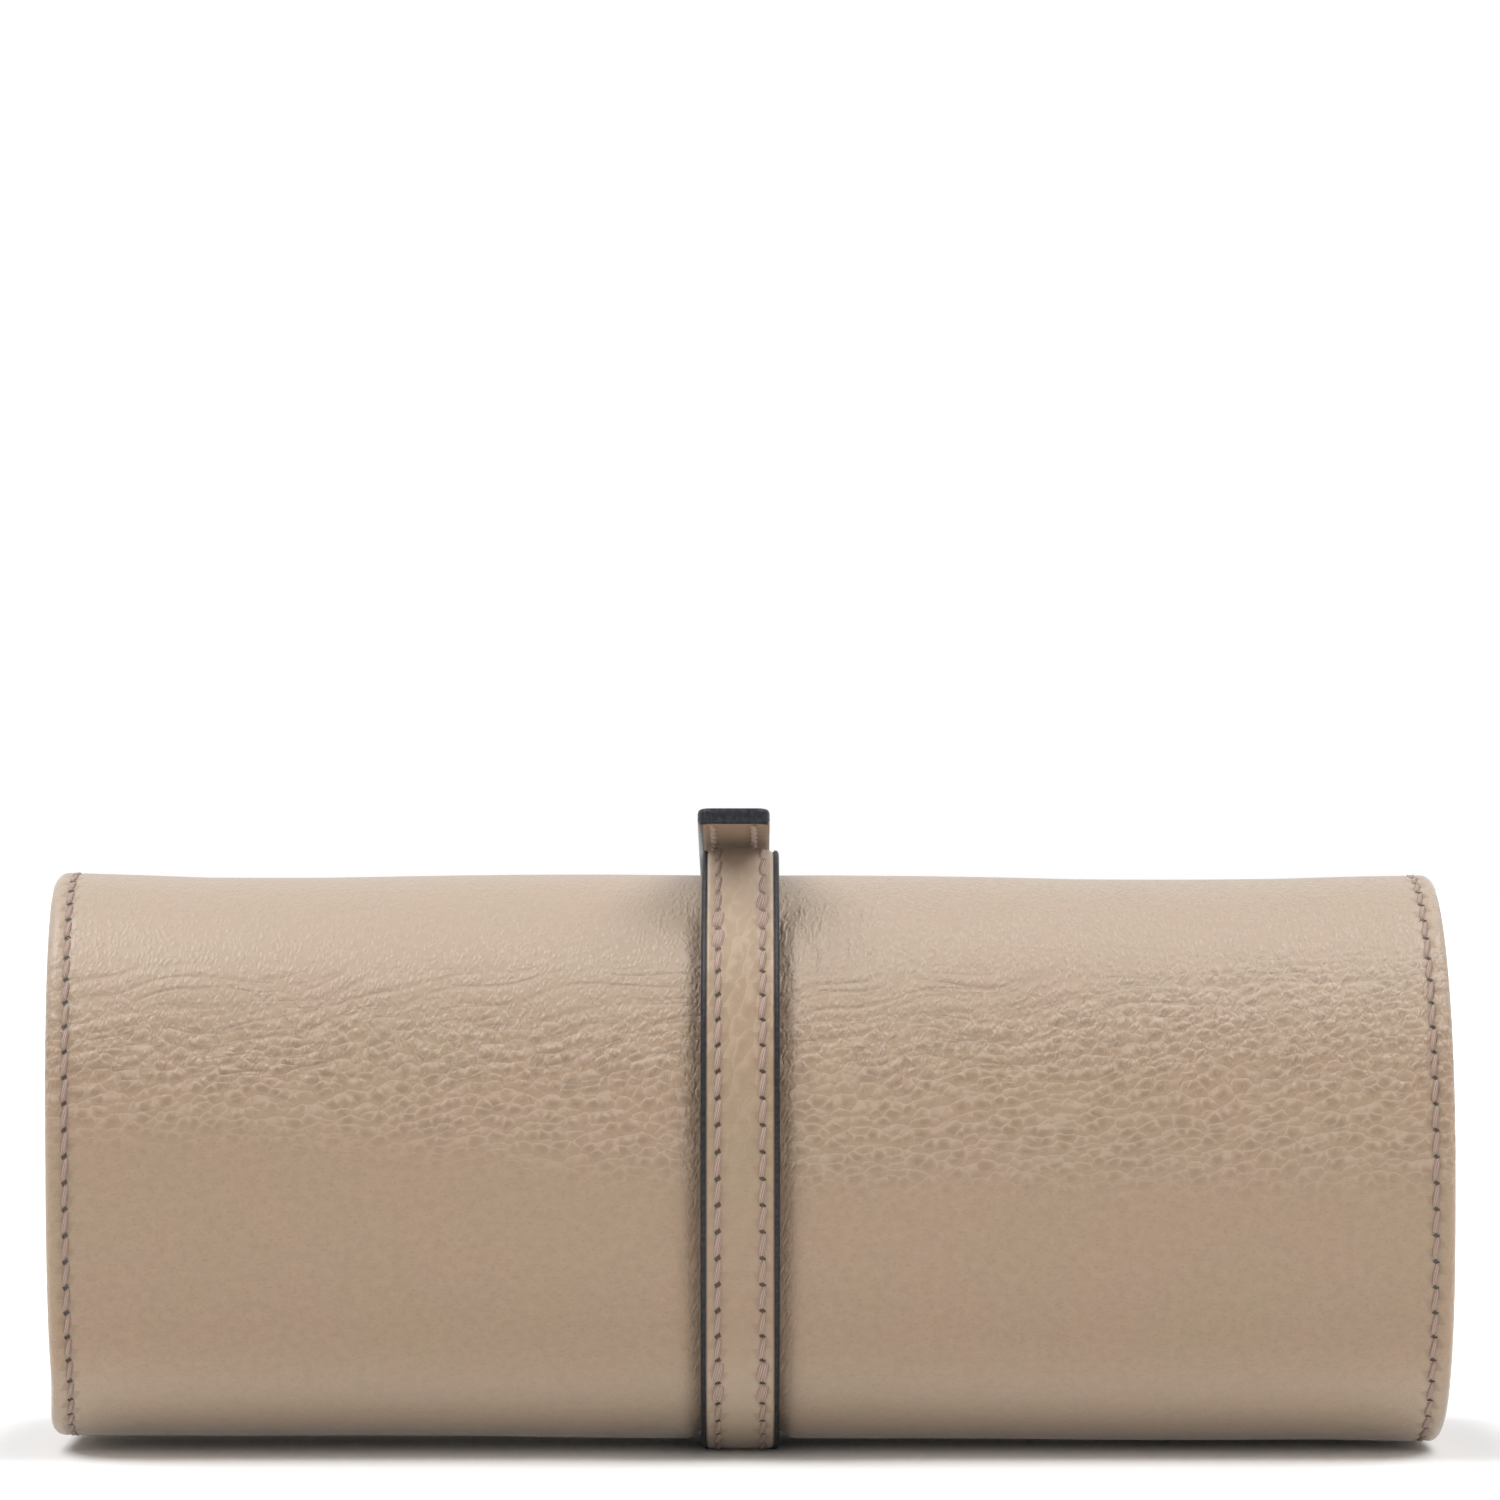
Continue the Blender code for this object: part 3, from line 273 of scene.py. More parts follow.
def leather_skin(name, start, end, free):
    """One stretch of the sheet as a closed plate with round ends, cut square where the next begins."""
    flat = ROLL_HALF_WIDTH - EDGE_RADIUS
    middle = spaced((-flat, -flat + 6 * MM, STRAP_CENTRE - BED_HALF_WIDTH, STRAP_CENTRE + BED_HALF_WIDTH,
                     flat - 6 * MM, flat), (FINE_STEP, PLAIN_STEP, FINE_STEP, PLAIN_STEP, FINE_STEP))
    arc = np.radians(np.linspace(90, 0, ARC_STEPS + 1))[:-1]
    base = np.concatenate([np.full(ARC_STEPS, -flat), middle, np.full(ARC_STEPS, flat)])
    lean = np.concatenate([-np.sin(arc), np.zeros(len(middle)), np.sin(arc[::-1])])
    every = np.arange(len(base))
    inside = every if any(free) else np.unique(np.concatenate(
        [every[:12], np.linspace(12, len(base) - 13, INSIDE_COLUMNS).astype(int), every[-12:]]))
    base = np.concatenate([base, base[inside][::-1]])
    lean = np.concatenate([lean, lean[inside][::-1]])
    side = np.concatenate([np.ones(len(base) - len(inside)), -np.ones(len(inside))])
    low, high = start + EDGE_RADIUS * free[0], end - EDGE_RADIUS * free[1]
    straight = spaced((low, high), (PLAIN_STEP,))
    before, after = ARC_STEPS * free[0], ARC_STEPS * free[1]
    run = np.concatenate([np.full(before, low), straight, np.full(after, high)])
    tilt = np.concatenate([-np.sin(arc[:before]), np.zeros(len(straight)), np.sin(arc[::-1][:after])])
    sheet, column, row = sheet_grid(name, len(base), len(run))
    a, b = lean[column], tilt[row]
    nx, ns = a * np.sqrt(1 - b * b / 2), b * np.sqrt(1 - a * a / 2)
    nz = np.sqrt(np.clip(1 - nx * nx - ns * ns, 0, 1))
    x = base[column] + EDGE_RADIUS * nx
    s = run[row] + EDGE_RADIUS * ns
    hem = 1 - eased((from_edge(x, s, ROLL_HALF_WIDTH, start, end, free) - HEM_WIDTH) / HEM_STEP)
    outer = -EDGE_RADIUS * (1 - nz) + nz * leather_relief(x, s)
    inner = -LEATHER_DEPTH + (LEATHER_DEPTH - EDGE_RADIUS * (1 + nz)) * hem
    face = side[column] > 0
    reach = EDGE_RADIUS * np.arcsin(np.clip(abs(a), 0, 1))
    past = np.where(face, reach, math.pi * EDGE_RADIUS - reach + flat - abs(base[column]))
    across = np.where(face, base[column], np.copysign(flat, base[column])) + np.copysign(past, x)
    return laid_out(sheet, on_wrap(x, s, np.where(face, outer, inner)), np.stack([across, s], -1))


# Each fold: the bodies before and after it, its angle, and how far it reaches on both sides.
FOLDS = {
    "flap": ("back_flap", "back_corner", -155, 6 * MM, 6 * MM),
    "back": ("back_corner", "bottom", -115, 6 * MM, 6 * MM),
    "foot": ("bottom", "front_corner", -65, 6 * MM, 6 * MM),
    "corner": ("front_corner", "front", -25, 9 * MM, 2 * MM),
    "front": ("front", "top_front", 28, 5 * MM, 12 * MM),
    "top": ("top_front", "top_back", 86, 1.5 * MM, 9 * MM),
    "leaf": ("top_back", "leaf", 129, 6 * MM, 6 * MM),
}
fold_run = {label: run_at(angle) for label, (_, _, angle, _, _) in FOLDS.items()}
SEAMS = [FLAP_RUN, fold_run["flap"] - 8 * MM, (fold_run["flap"] + fold_run["back"]) / 2, run_at(-90),
         (fold_run["foot"] + fold_run["corner"]) / 2 - 2.5 * MM, fold_run["corner"] + 2.5 * MM,
         fold_run["top"] - 2 * MM, (fold_run["top"] + fold_run["leaf"]) / 2 + 3 * MM,
         fold_run["leaf"] + 8 * MM, LEAF_RUN]
SOLIDS = [["back_flap"], ["back_corner"], ["bottom"], [], ["front_corner"], ["front"], ["top_front"],
          ["top_back"], ["leaf"]]
FREE = [(True, False), *[(False, False)] * len(FOLDS), (False, True)]
STRETCHES = list(zip(["flap_end", *FOLDS, "leaf_end"], SEAMS, SEAMS[1:], SOLIDS, FREE))


def fold(piece):
    """Bakes a piece's placement into its mesh, for a piece that crosses one fold of the roll."""
    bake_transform(piece)


def held(piece, label):
    """Attaches a piece of one stretch of the sheet to its end's body, or bakes its placement where it crosses
    a fold.
    """
    if label in FOLDS:
        fold(piece)
    else:
        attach(piece, "back_flap" if label == "flap_end" else "leaf")


def dressed(piece, finish, solids=(), kind=""):
    """Gives a piece its material, and hides the solids that it stands for."""
    piece.data.materials.append(finish)
    if solids:
        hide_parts(*[solid + kind for solid in solids])
    return piece


def node(tree, kind, sockets=None, **settings):
    """A shader node with its settings, and its sockets set or linked."""
    made = tree.nodes.new(kind)
    for key, value in settings.items():
        setattr(made, key, value)
    for key, value in (sockets or {}).items():
        if isinstance(value, bpy.types.NodeSocket):
            tree.links.new(value, made.inputs[key])
        else:
            made.inputs[key].default_value = value
    return made


def tree_of(values):
    """The node tree that the sockets among these values belong to."""
    return next(value.id_data for value in values if isinstance(value, bpy.types.NodeSocket))


def joined(value, socket):
    """Links a value to a socket."""
    socket.id_data.links.new(value, socket)


def reckoned(operation, *values, clamp=False):
    """One step of arithmetic."""
    return node(tree_of(values), "ShaderNodeMath", dict(enumerate(values)), operation=operation,
                use_clamp=clamp).outputs[0]


def times(first, second, plus=None):
    """Two values multiplied, and a third added where it is given."""
    if plus is None:
        return reckoned("MULTIPLY", first, second)
    return reckoned("MULTIPLY_ADD", first, second, plus)


def moved(operation, *values):
    """One step of arithmetic on vectors."""
    return node(tree_of(values), "ShaderNodeVectorMath", dict(enumerate(values)),
                operation=operation).outputs[0]


def split_up(vector):
    """A vector's parts X, Y and Z."""
    return node(vector.id_data, "ShaderNodeSeparateXYZ", {"Vector": vector}).outputs


def ramped(value, low, high, out_low=0.0, out_high=1.0):
    """A smooth rise of a value between two limits."""
    limits = {"Value": value, "From Min": low, "From Max": high, "To Min": out_low, "To Max": out_high}
    return node(value.id_data, "ShaderNodeMapRange", limits,
                interpolation_type="SMOOTHSTEP").outputs["Result"]


def clouds(vector, scale, detail=2.0, output="Fac"):
    """Soft noise, drawn out where the scale is given for each direction."""
    if isinstance(scale, tuple):
        vector, scale = moved("MULTIPLY", vector, scale), 1.0
    return node(vector.id_data, "ShaderNodeTexNoise",
                {"Vector": vector, "Scale": scale, "Detail": detail}).outputs[output]


def cell_pattern(vector, scale, randomness, **settings):
    """Irregular cells of the given width and height: the places that they fill, and their outputs."""
    sized = moved("MULTIPLY", vector, scale)
    return sized, node(vector.id_data, "ShaderNodeTexVoronoi",
                       {"Vector": sized, "Scale": 1.0, "Randomness": randomness}, **settings).outputs


def cells(vector, scale, randomness=1.0):
    """Distance from the edges of irregular cells."""
    return cell_pattern(vector, scale, randomness, feature="DISTANCE_TO_EDGE")[1]["Distance"]


def scales(vector, scale, randomness=1.0):
    """Irregular cells: how far out from each cell's middle, and how far up from it."""
    sized, cell = cell_pattern(vector, scale, randomness)
    return cell["Distance"], split_up(moved("SUBTRACT", sized, cell["Position"]))["Y"]


def turned_pattern(vector, degrees):
    """A pattern map turned in its own plane."""
    return node(vector.id_data, "ShaderNodeVectorRotate", {"Vector": vector, "Angle": math.radians(degrees)},
                rotation_type="Z_AXIS").outputs[0]


def pushed_about(vector, pattern, scale, reach):
    """A map whose places wander with slow clouds, as far as reach says."""
    drift = moved("SUBTRACT", clouds(pattern, scale, 1.0, "Color"), (0.5, 0.5, 0.5))
    return moved("ADD", vector, moved("MULTIPLY", drift, reach))


def group(name, inputs, outputs):
    """An empty node group; an input without a value is a vector."""
    tree = bpy.data.node_groups.new(name, "ShaderNodeTree")
    for label, value in inputs.items():
        kind = "NodeSocketVector" if value is None else "NodeSocketFloat"
        socket = tree.interface.new_socket(label, in_out="INPUT", socket_type=kind)
        if value is not None:
            socket.default_value = value
    for label in outputs:
        tree.interface.new_socket(label, in_out="OUTPUT", socket_type="NodeSocketFloat")
    return tree.nodes.new("NodeGroupInput").outputs, tree.nodes.new("NodeGroupOutput").inputs


def grouped(name, sockets):
    """A node group placed in a material with its own values."""
    return node(tree_of(sockets.values()), "ShaderNodeGroup", sockets,
                node_tree=bpy.data.node_groups[name]).outputs


PEBBLE_CELLS, SMALL_CELLS, CREASE_CELLS = (0.4, 0.58, 1.0), (1.5, 0.75, 1.0), (0.055, 0.36, 1.0)
given, put = group("pebbled_grain", {"Pattern": None, "Pebbles": 1.0, "Flecks": 1.0, "Creases": 1.0},
                   ("Height", "Valley", "PaintedHighlight", "Patch"))
pattern = given["Pattern"]
leaning = turned_pattern(pattern, -9)
smooth = pushed_about(leaning, pattern, 0.045, (0.0, 12.0, 0.0))
calm = pushed_about(leaning, pattern, 0.045, (0.0, 4.0, 0.0))
bent = pushed_about(calm, pattern, 0.5, (1.4, 0.8, 0.0))
patch = clouds(pattern, 0.045)
pebble_far, pebble_rise = scales(bent, PEBBLE_CELLS, 0.9)
pebble = times(ramped(pebble_far, 0.7, 0.1), times(pebble_rise, 0.9, 0.7))
# a painted highlight along the upper edge of each pebble, on the side that faces the light from above
crescent_highlight = times(ramped(cells(bent, PEBBLE_CELLS, 0.9), 0.24, 0.02), ramped(pebble_rise, -0.3, 0.3))
# the middle of each pebble, which the finish paints darker below its lit upper edge: painted shade
body = times(ramped(pebble_far, 0.5, 0.2), 0.85)
small_far, small_rise = scales(turned_pattern(bent, 14), SMALL_CELLS)
small = times(ramped(small_far, 0.7, 0.1), times(small_rise, 0.7, 0.75))
# painted glints on the small flecks
fleck_glint = times(ramped(small_far, 0.42, 0.1), ramped(clouds(pattern, 0.9, 1.0), 0.42, 0.58))
long_edge = cells(smooth, CREASE_CELLS, 0.8)
long_rise = scales(smooth, CREASE_CELLS, 0.8)[1]
broken = ramped(clouds(pattern, 0.1, 1.0), 0.3, 0.58)
level_only = ramped(reckoned("ABSOLUTE", long_rise), 0.2, 0.38)
crease = times(ramped(long_edge, 0.22, 0.0), times(times(broken, 0.8), level_only))
height = times(times(small, 0.35, pebble), times(given["Pebbles"], ramped(patch, 0.3, 0.7, 0.75, 1.15)))
height = times(small, times(given["Flecks"], 0.95), height)
roll = times(ramped(long_edge, 0.0, 0.4), 0.6, times(crease, -0.6))
height = times(clouds(pattern, 3.2, 3.0), 0.15, times(roll, given["Creases"], height))
joined(height, put["Height"])
# Valley: creases and pebble middles, painted darker as painted shade and made rougher
joined(reckoned("MAXIMUM", times(crease, given["Creases"]), times(body, given["Pebbles"]), clamp=True),
       put["Valley"])
# the finish paints this output paler: painted highlights on the pebbles' upper edges and on the flecks
joined(reckoned("MAXIMUM", times(crescent_highlight, given["Pebbles"]), times(fleck_glint, given["Flecks"]), clamp=True),
       put["PaintedHighlight"])
joined(patch, put["Patch"])

given, put = group("needle_holes", {"Across": 0.0, "Along": 0.0, "Pitch": 4.3}, ("Mask", "Shade"))
step = reckoned("SUBTRACT", reckoned("FLOORED_MODULO", given["Along"], given["Pitch"]),
                times(given["Pitch"], 0.5))
slanted = times(step, 0.45, given["Across"])
far = reckoned("ADD", reckoned("ABSOLUTE", reckoned("DIVIDE", slanted, 0.66)),
               reckoned("ABSOLUTE", reckoned("DIVIDE", step, 0.74)))
joined(ramped(far, 1.0, 0.55), put["Mask"])
joined(ramped(reckoned("ABSOLUTE", slanted), 1.1, 0.45), put["Shade"])


def new_finish(name, roughness, **constants):
    """A new material and its shader."""
    made = bpy.data.materials.new(name)
    made.use_nodes = True
    shader = made.node_tree.nodes["Principled BSDF"]
    shader.inputs["Roughness"].default_value = roughness
    for key, value in constants.items():
        shader.inputs[key.replace("_", " ")].default_value = value
    return made, shader


def coordinates(shader, kind):
    """Places on the piece that wears a shader: UV on its pattern map, or Object in space."""
    return node(shader.id_data, "ShaderNodeTexCoord").outputs[kind]


def pattern_in_mm(shader):
    """The piece's own pattern map, in millimetres."""
    return moved("MULTIPLY", coordinates(shader, "UV"), (1000.0, 1000.0, 0.0))


def blended(share, first, second):
    """Two colours mixed by a share."""
    first, second = [(*colour, 1) if isinstance(colour, tuple) else colour for colour in (first, second)]
    return node(share.id_data, "ShaderNodeMix", {"Factor": share, "A": first, "B": second},
                data_type="RGBA").outputs["Result"]


def layered(colour, *coats):
    """A colour with other colours laid over it, each by its share."""
    for share, coat in coats:
        colour = blended(share, colour, coat)
    return colour


def painted(shader, colour, height, depth):
    """Gives a shader its colour, and bumps of this depth from a height."""
    joined(colour, shader.inputs["Base Color"])
    bump = node(shader.id_data, "ShaderNodeBump", {"Height": height, "Distance": depth, "Strength": 1.0})
    joined(bump.outputs["Normal"], shader.inputs["Normal"])


def zone(value, low, high, edge, base):
    """1 between two places along the sheet, and the base share beyond them."""
    between = times(ramped(value, low - edge, low), ramped(value, high + edge, high))
    return ramped(between, 0.0, 1.0, base, 1.0)


def wrap_grain(across, run, pebbles, flecks, creases):
    """Grain of the wrapped outside: a pebbled band over the front, with flecks and creases above it."""
    right = ramped(across, 35.0, 90.0)
    band = times(ramped(times(ramped(across, -90.0, 10.0), 8.0, run), -1.0, 14.0),
                 ramped(times(right, -11.0, run), 33.0, 18.0))
    fading = ramped(times(ramped(across, -60.0, 40.0), -30.0, run), 44.0, 26.0, 0.5, 1.0)
    return (ramped(band, 0.0, 1.0, pebbles, 1.0),
            times(ramped(run, 8.0, 20.0, flecks, 0.85), fading),
            times(zone(run, 17.0, 31.0, 6.0, creases), ramped(right, 0.0, 1.0, 1.0, 0.5)))


def wrinkled_and_shadowed(pattern, across, run, colour, height):
    """The wrapped outside's streaks at the top, and its wrinkles beside the strap, darkened by a painted
    shadow of the strap.
    """
    streak = times(ramped(clouds(turned_pattern(pattern, 6), (0.75, 0.13, 1.0)), 0.48, 0.7),
                   zone(run, 34.0, 46.0, 8.0, 0.0))
    height = times(times(streak, zone(across, 6.0, 16.0, 12.0, 0.0)), 1.1, height)
    beside = reckoned("ABSOLUTE", reckoned("SUBTRACT", across, STRAP_CENTRE / MM))
    bristle = clouds(turned_pattern(pattern, 24), (2.2, 0.35, 1.0))
    near = times(ramped(times(bristle, 4.0, beside), 10.4, 8.2), zone(run, -150.0, 40.0, 12.0, 0.0))
    # beside the strap the colour is darkened to dark brown: a painted shadow of the strap
    return blended(times(near, 0.62), colour, (0.16, 0.1, 0.065)), times(times(bristle, near), 1.2, height)


PAINTED_HIGHLIGHT_COLOUR, FOOT_REFLECTION_COLOUR, TOP_SHEEN_COLOUR = (0.6, 0.48, 0.39), (0.54, 0.46, 0.37), (0.46, 0.38, 0.31)
SHORT_END_LIGHT_COLOUR, HOLE_COLOUR = (0.56, 0.45, 0.36), (0.04, 0.02, 0.01)


def leather_finish(name, top, low, pink, amounts, depth, rows, roughness=0.42, wrap=False, stretch=(1.0, 1.0),
                   turn=0, veil=0.48, foot=(-62.0, -44.0), short_end=0.0):
    """Pebbled leather. Amounts are its pebbles, flecks and creases; rows gives each needle row's map axis,
    place and pitch; veil is its pale sheen; foot is the lower turn, painted paler as a painted reflection
    of the floor; short_end is the strap's end, painted paler as painted light against the tip's shadow."""
    made, shader = new_finish(name, roughness, Sheen_Weight=veil, Sheen_Roughness=0.4,
                              Sheen_Tint=(1.0, 0.96, 0.93, 1))
    pattern = pattern_in_mm(shader)
    split = split_up(pattern)
    across, run = split["X"], split["Y"]
    pebbles, flecks, creases = wrap_grain(across, run, *amounts) if wrap else amounts
    if short_end:
        pebbles = ramped(run, short_end - 70.0, short_end - 35.0, 0.06, pebbles)
    sized = moved("MULTIPLY", turned_pattern(pattern, turn), (*stretch, 1.0))
    hide = grouped("pebbled_grain",
                   {"Pattern": sized, "Pebbles": pebbles, "Flecks": flecks, "Creases": creases})
    holed = shade = 0.0
    for axis, place, pitch in rows:
        beside, along = (reckoned("ABSOLUTE", across), run) if axis == "X" else (run, across)
        row = grouped("needle_holes", {"Across": reckoned("SUBTRACT", beside, place / MM), "Along": along,
                                       "Pitch": pitch / MM})
        holed = reckoned("MAXIMUM", row["Mask"], holed)
        shade = reckoned("MAXIMUM", row["Shade"], shade)
    colour = layered(blended(ramped(hide["Patch"], 0.35, 0.65), top, pink),
                     (ramped(clouds(pattern, 0.6, 3.0), 0.3, 0.75, 0.0, 0.24), low),
                     (ramped(clouds(pattern, (1.3, 2.4, 1.0)), 0.54, 0.7, 0.0, 0.4), low),
                     # creases and pebble middles painted darker: painted shade
                     (times(hide["Valley"], 0.5), low),
                     # pebble edges and flecks painted paler: painted highlights
                     (times(hide["PaintedHighlight"], 0.32), PAINTED_HIGHLIGHT_COLOUR),
                     # the lower turn painted paler: a painted reflection of the white floor
                     (times(zone(run, *foot, 20.0, 0.0), 0.3), FOOT_REFLECTION_COLOUR))
    if wrap:
        # the top of the wrap painted paler and greyer: a painted sheen where the top catches the light
        colour = blended(ramped(run, 14.0, 44.0, 0.0, 0.45), colour, TOP_SHEEN_COLOUR)
    colour, height = blended(times(shade, 0.45), colour, low), hide["Height"]
    if wrap:
        colour, height = wrinkled_and_shadowed(pattern, across, run, colour, height)
    # needle holes painted near black: painted shade inside the holes
    colour = blended(holed, colour, HOLE_COLOUR)
    if short_end:
        # the last few centimetres of the strap painted paler: painted light that lifts the shadow of the tip
        colour = blended(ramped(run, short_end - 34.0, short_end - 2.0, 0.0, 0.6), colour, SHORT_END_LIGHT_COLOUR)
    painted(shader, colour, times(holed, -4.0, height), depth)
    joined(ramped(hide["Valley"], 0.0, 1.0, roughness, roughness + 0.2), shader.inputs["Roughness"])
    return made


SEWN_LINE = ROLL_HALF_WIDTH - SEWN_INSET
HEM_LINE = 2 * (ROLL_HALF_WIDTH - EDGE_RADIUS) + math.pi * EDGE_RADIUS - SEWN_LINE
leather = leather_finish(
    "pebbled_leather", (0.36, 0.255, 0.163), (0.235, 0.163, 0.103), (0.37, 0.25, 0.166),
    amounts=(0.12, 0.2, 0.03), depth=0.18 * MM, wrap=True,
    rows=(("X", SEWN_LINE, STITCH_PITCH), ("X", HEM_LINE, STITCH_PITCH),
          ("Y", FLAP_RUN + SEWN_INSET, STITCH_PITCH), ("Y", LEAF_RUN - SEWN_INSET, STITCH_PITCH)))

for label, start, end, solids, free in STRETCHES:
    skin = leather_skin("leather_" + label, start, end, free)
    held(dressed(skin, leather, solids, "_leather"), label)

# End stitching. A single needle sews the turned hems 3.4 mm inside both ends and both free edges with
# thick two-ply thread, so that each stitch lies in its groove and dips into a hole at either end.
STITCH_CLEAR, STITCH_DIP, OFF_FLOOR = 1.5 * MM, 0.35 * MM, 0.01 * MM
STITCH_LEAN, STITCH_FLATNESS = 0.16, 0.75
thread, shader = new_finish("sewing_thread", 0.6, Sheen_Weight=0.15)
around = split_up(coordinates(shader, "UV"))
twist = reckoned("SINE", times(times(around["X"], 8.0, times(around["Y"], 1.1)), 2 * math.pi))
spun = blended(ramped(twist, -1.0, 0.2), (0.25, 0.163, 0.125), (0.47, 0.335, 0.27))
painted(shader, spun, twist, 0.04 * MM)

picked(None)
bpy.ops.mesh.primitive_uv_sphere_add(segments=8, ring_count=9, radius=1)
one_stitch = bpy.context.object
stitch_points = np.array([tuple(point.co) for point in one_stitch.data.vertices])
stitch_faces = [list(face.vertices) for face in one_stitch.data.polygons]
stitch_map = np.array([tuple(loop.uv) for loop in one_stitch.data.uv_layers[0].data])
bpy.data.objects.remove(one_stitch)


def new_piece(name, mesh):
    """A piece in the scene for a mesh."""
    piece = bpy.data.objects.new(name, mesh)
    mesh.name = name
    bpy.context.scene.collection.objects.link(piece)
    return piece


def sewn(name, spots, lay, level=0.14 * MM, length=3.95 * MM, width=0.44 * MM):
    """Stitches as one piece; a spot is (across, along, 0 for a row along the sheet or 1 across it)."""
    fill = np.sign(stitch_points[:, 2]) * abs(stitch_points[:, 2]) ** 0.8
    slim = (1 - abs(fill) ** 3) ** 0.4
    girth = np.maximum(np.hypot(stitch_points[:, 0], stitch_points[:, 1]), 1e-6)
    on = fill * length / 2
    high = level + stitch_points[:, 1] / girth * width * STITCH_FLATNESS * slim - STITCH_DIP * abs(fill) ** 4
    places = []
    for across, run, crosswise in spots:
        side = stitch_points[:, 0] / girth * width * slim + STITCH_LEAN * on * (1 - 0.4 * crosswise)
        place = lay(across + (on if crosswise else side), run + (side if crosswise else on), high)
        place[:, 2] = np.maximum(place[:, 2], OFF_FLOOR)
        places.append(place)
    count = len(stitch_points)
    faces = [[corner + count * number for corner in face]
             for number in range(len(spots)) for face in stitch_faces]
    mesh = bpy.data.meshes.new(name)
    mesh.from_pydata(np.concatenate(places).tolist(), [], faces)
    mesh.uv_layers.new(name="UVMap").data.foreach_set("uv", np.tile(stitch_map, (len(spots), 1)).ravel())
    piece = new_piece(name, mesh)
    mended(piece)
    bpy.ops.object.shade_smooth()
    return dressed(piece, thread)


def in_step(start, end, pitch):
    """Middles of the stitches between two places along a seam."""
    return [pitch * step for step in range(math.ceil(start / pitch), math.ceil(end / pitch))]


def over(lie, level, way=1):
    """Gives the places over one face of a strip; level is where it lies, and way is -1 for its inner face."""
    return lambda x, s, high: lie(x, s, (level(x, s) if callable(level) else level) + way * high)


for label, start, end, _, (first, last) in STRETCHES:
    edge = start + SEWN_INSET if first else end - SEWN_INSET
    low = edge + STITCH_CLEAR if first else start
    high = edge - STITCH_CLEAR if last else end
    spots = [(side * SEWN_LINE, mark, 0) for side in (-1, 1) for mark in in_step(low, high, STITCH_PITCH)]
    if first or last:
        half = int((SEWN_LINE - 1 * MM) / STITCH_PITCH)
        spots += [(STITCH_PITCH * step, edge, 1) for step in range(-half, half + 1)]
    for kind, lay in (("outer", over(on_wrap, leather_relief)), ("inner", over(on_wrap, -WALL, -1))):
        held(sewn(kind + "_stitching_" + label, spots, lay), label)

# Strap. Two plies of the same hide are glued back to back and sewn; it starts as the free short end
# at the top of the front, runs down the front, under the roll and up the back, and ends over the
# top in the tip that points at the viewer.
TIP_RISE = math.radians(10)
TIP_REACH = 25.2 * MM
TIP_ROOT = 8 * MM
TIP_CENTRE = -2.7 * MM
TIP_HALF_WIDTH = 6 * MM
STRAP_UNDER = -0.8 * MM
STRAP_SEWN = 3.66 * MM
STRAP_PITCH = 4.275 * MM
REST_GAP = 0.8 * MM
STRAP_STEP = 0.8 * MM
SHORT_RUN = run_at(SHORT_END)


def short_lift(run):
    """How far the short end stands off the leather."""
    return SHORT_END_LIFT * eased((angle_at(run) - SHORT_END_FREE) / (SHORT_END - SHORT_END_FREE))


def crossed(first, second):
    """Cross product of two flat directions."""
    return first[0] * second[1] - first[1] * second[0]


rest_point = on_wrap(0, np.array([SHORT_RUN]), STRAP_PROUD + SHORT_END_LIFT)[0, 1:]
tip_ahead = np.array([-math.cos(TIP_RISE), math.sin(TIP_RISE)])
tip_up = np.array([math.sin(TIP_RISE), math.cos(TIP_RISE)])
tip_base = rest_point + tip_up * (REST_GAP - STRAP_UNDER)
tip_root = tip_base + tip_ahead * (tip_base[0] - TIP_ROOT) / math.cos(TIP_RISE)
tip_length = (tip_root[0] + TIP_REACH) / math.cos(TIP_RISE)
flap_edge, flap_inner = on_wrap(0, np.array([FLAP_RUN, FLAP_RUN + 0.5 * MM]), 0)[:, 1:]
leaving = (flap_edge - flap_inner) / np.linalg.norm(flap_edge - flap_inner)
knee = flap_edge + leaving * crossed(tip_root - flap_edge, tip_ahead) / crossed(leaving, tip_ahead)
share = np.linspace(0, 1, 240)[:, None]
tail_line = flap_edge * (1 - share) ** 2 + knee * 2 * share * (1 - share) + tip_root * share ** 2
tip_line = tip_root + tip_ahead * np.linspace(0, tip_length, 100)[1:, None]
sewn_run = np.arange(FLAP_RUN, SHORT_RUN, LINE_STEP)
sewn_line = on_wrap(np.zeros(len(sewn_run)), sewn_run, short_lift(sewn_run))[:, 1:]
strap_line = np.concatenate([tip_line[::-1], tail_line[::-1][:-1], sewn_line])
strap_run = np.concatenate([[0], np.cumsum(np.linalg.norm(np.diff(strap_line, axis=0), axis=1))])
ROOT_RUN = strap_run[len(tip_line)]
EDGE_RUN = strap_run[len(tip_line) + len(tail_line) - 1]
STRAP_END = strap_run[-1]
even_run = np.arange(0, STRAP_END, LINE_STEP)
strap_lie = line_and_normal(even_run, strap_run, *strap_line.T)


def strap_at(angle):
    """Length along the strap at the sheet's angle."""
    return EDGE_RUN + run_at(angle) - FLAP_RUN


def on_strap(across, run, height):
    """Points of the strap, which narrows and shifts a little towards its tip."""
    to_tip = 1 - eased((run - ROOT_RUN) / (EDGE_RUN - ROOT_RUN))
    centre = STRAP_CENTRE + (TIP_CENTRE - STRAP_CENTRE) * to_tip
    width = 1 + (TIP_HALF_WIDTH / STRAP_HALF_WIDTH - 1) * to_tip
    return laid_along(strap_lie, even_run, centre + across * width, run, height)


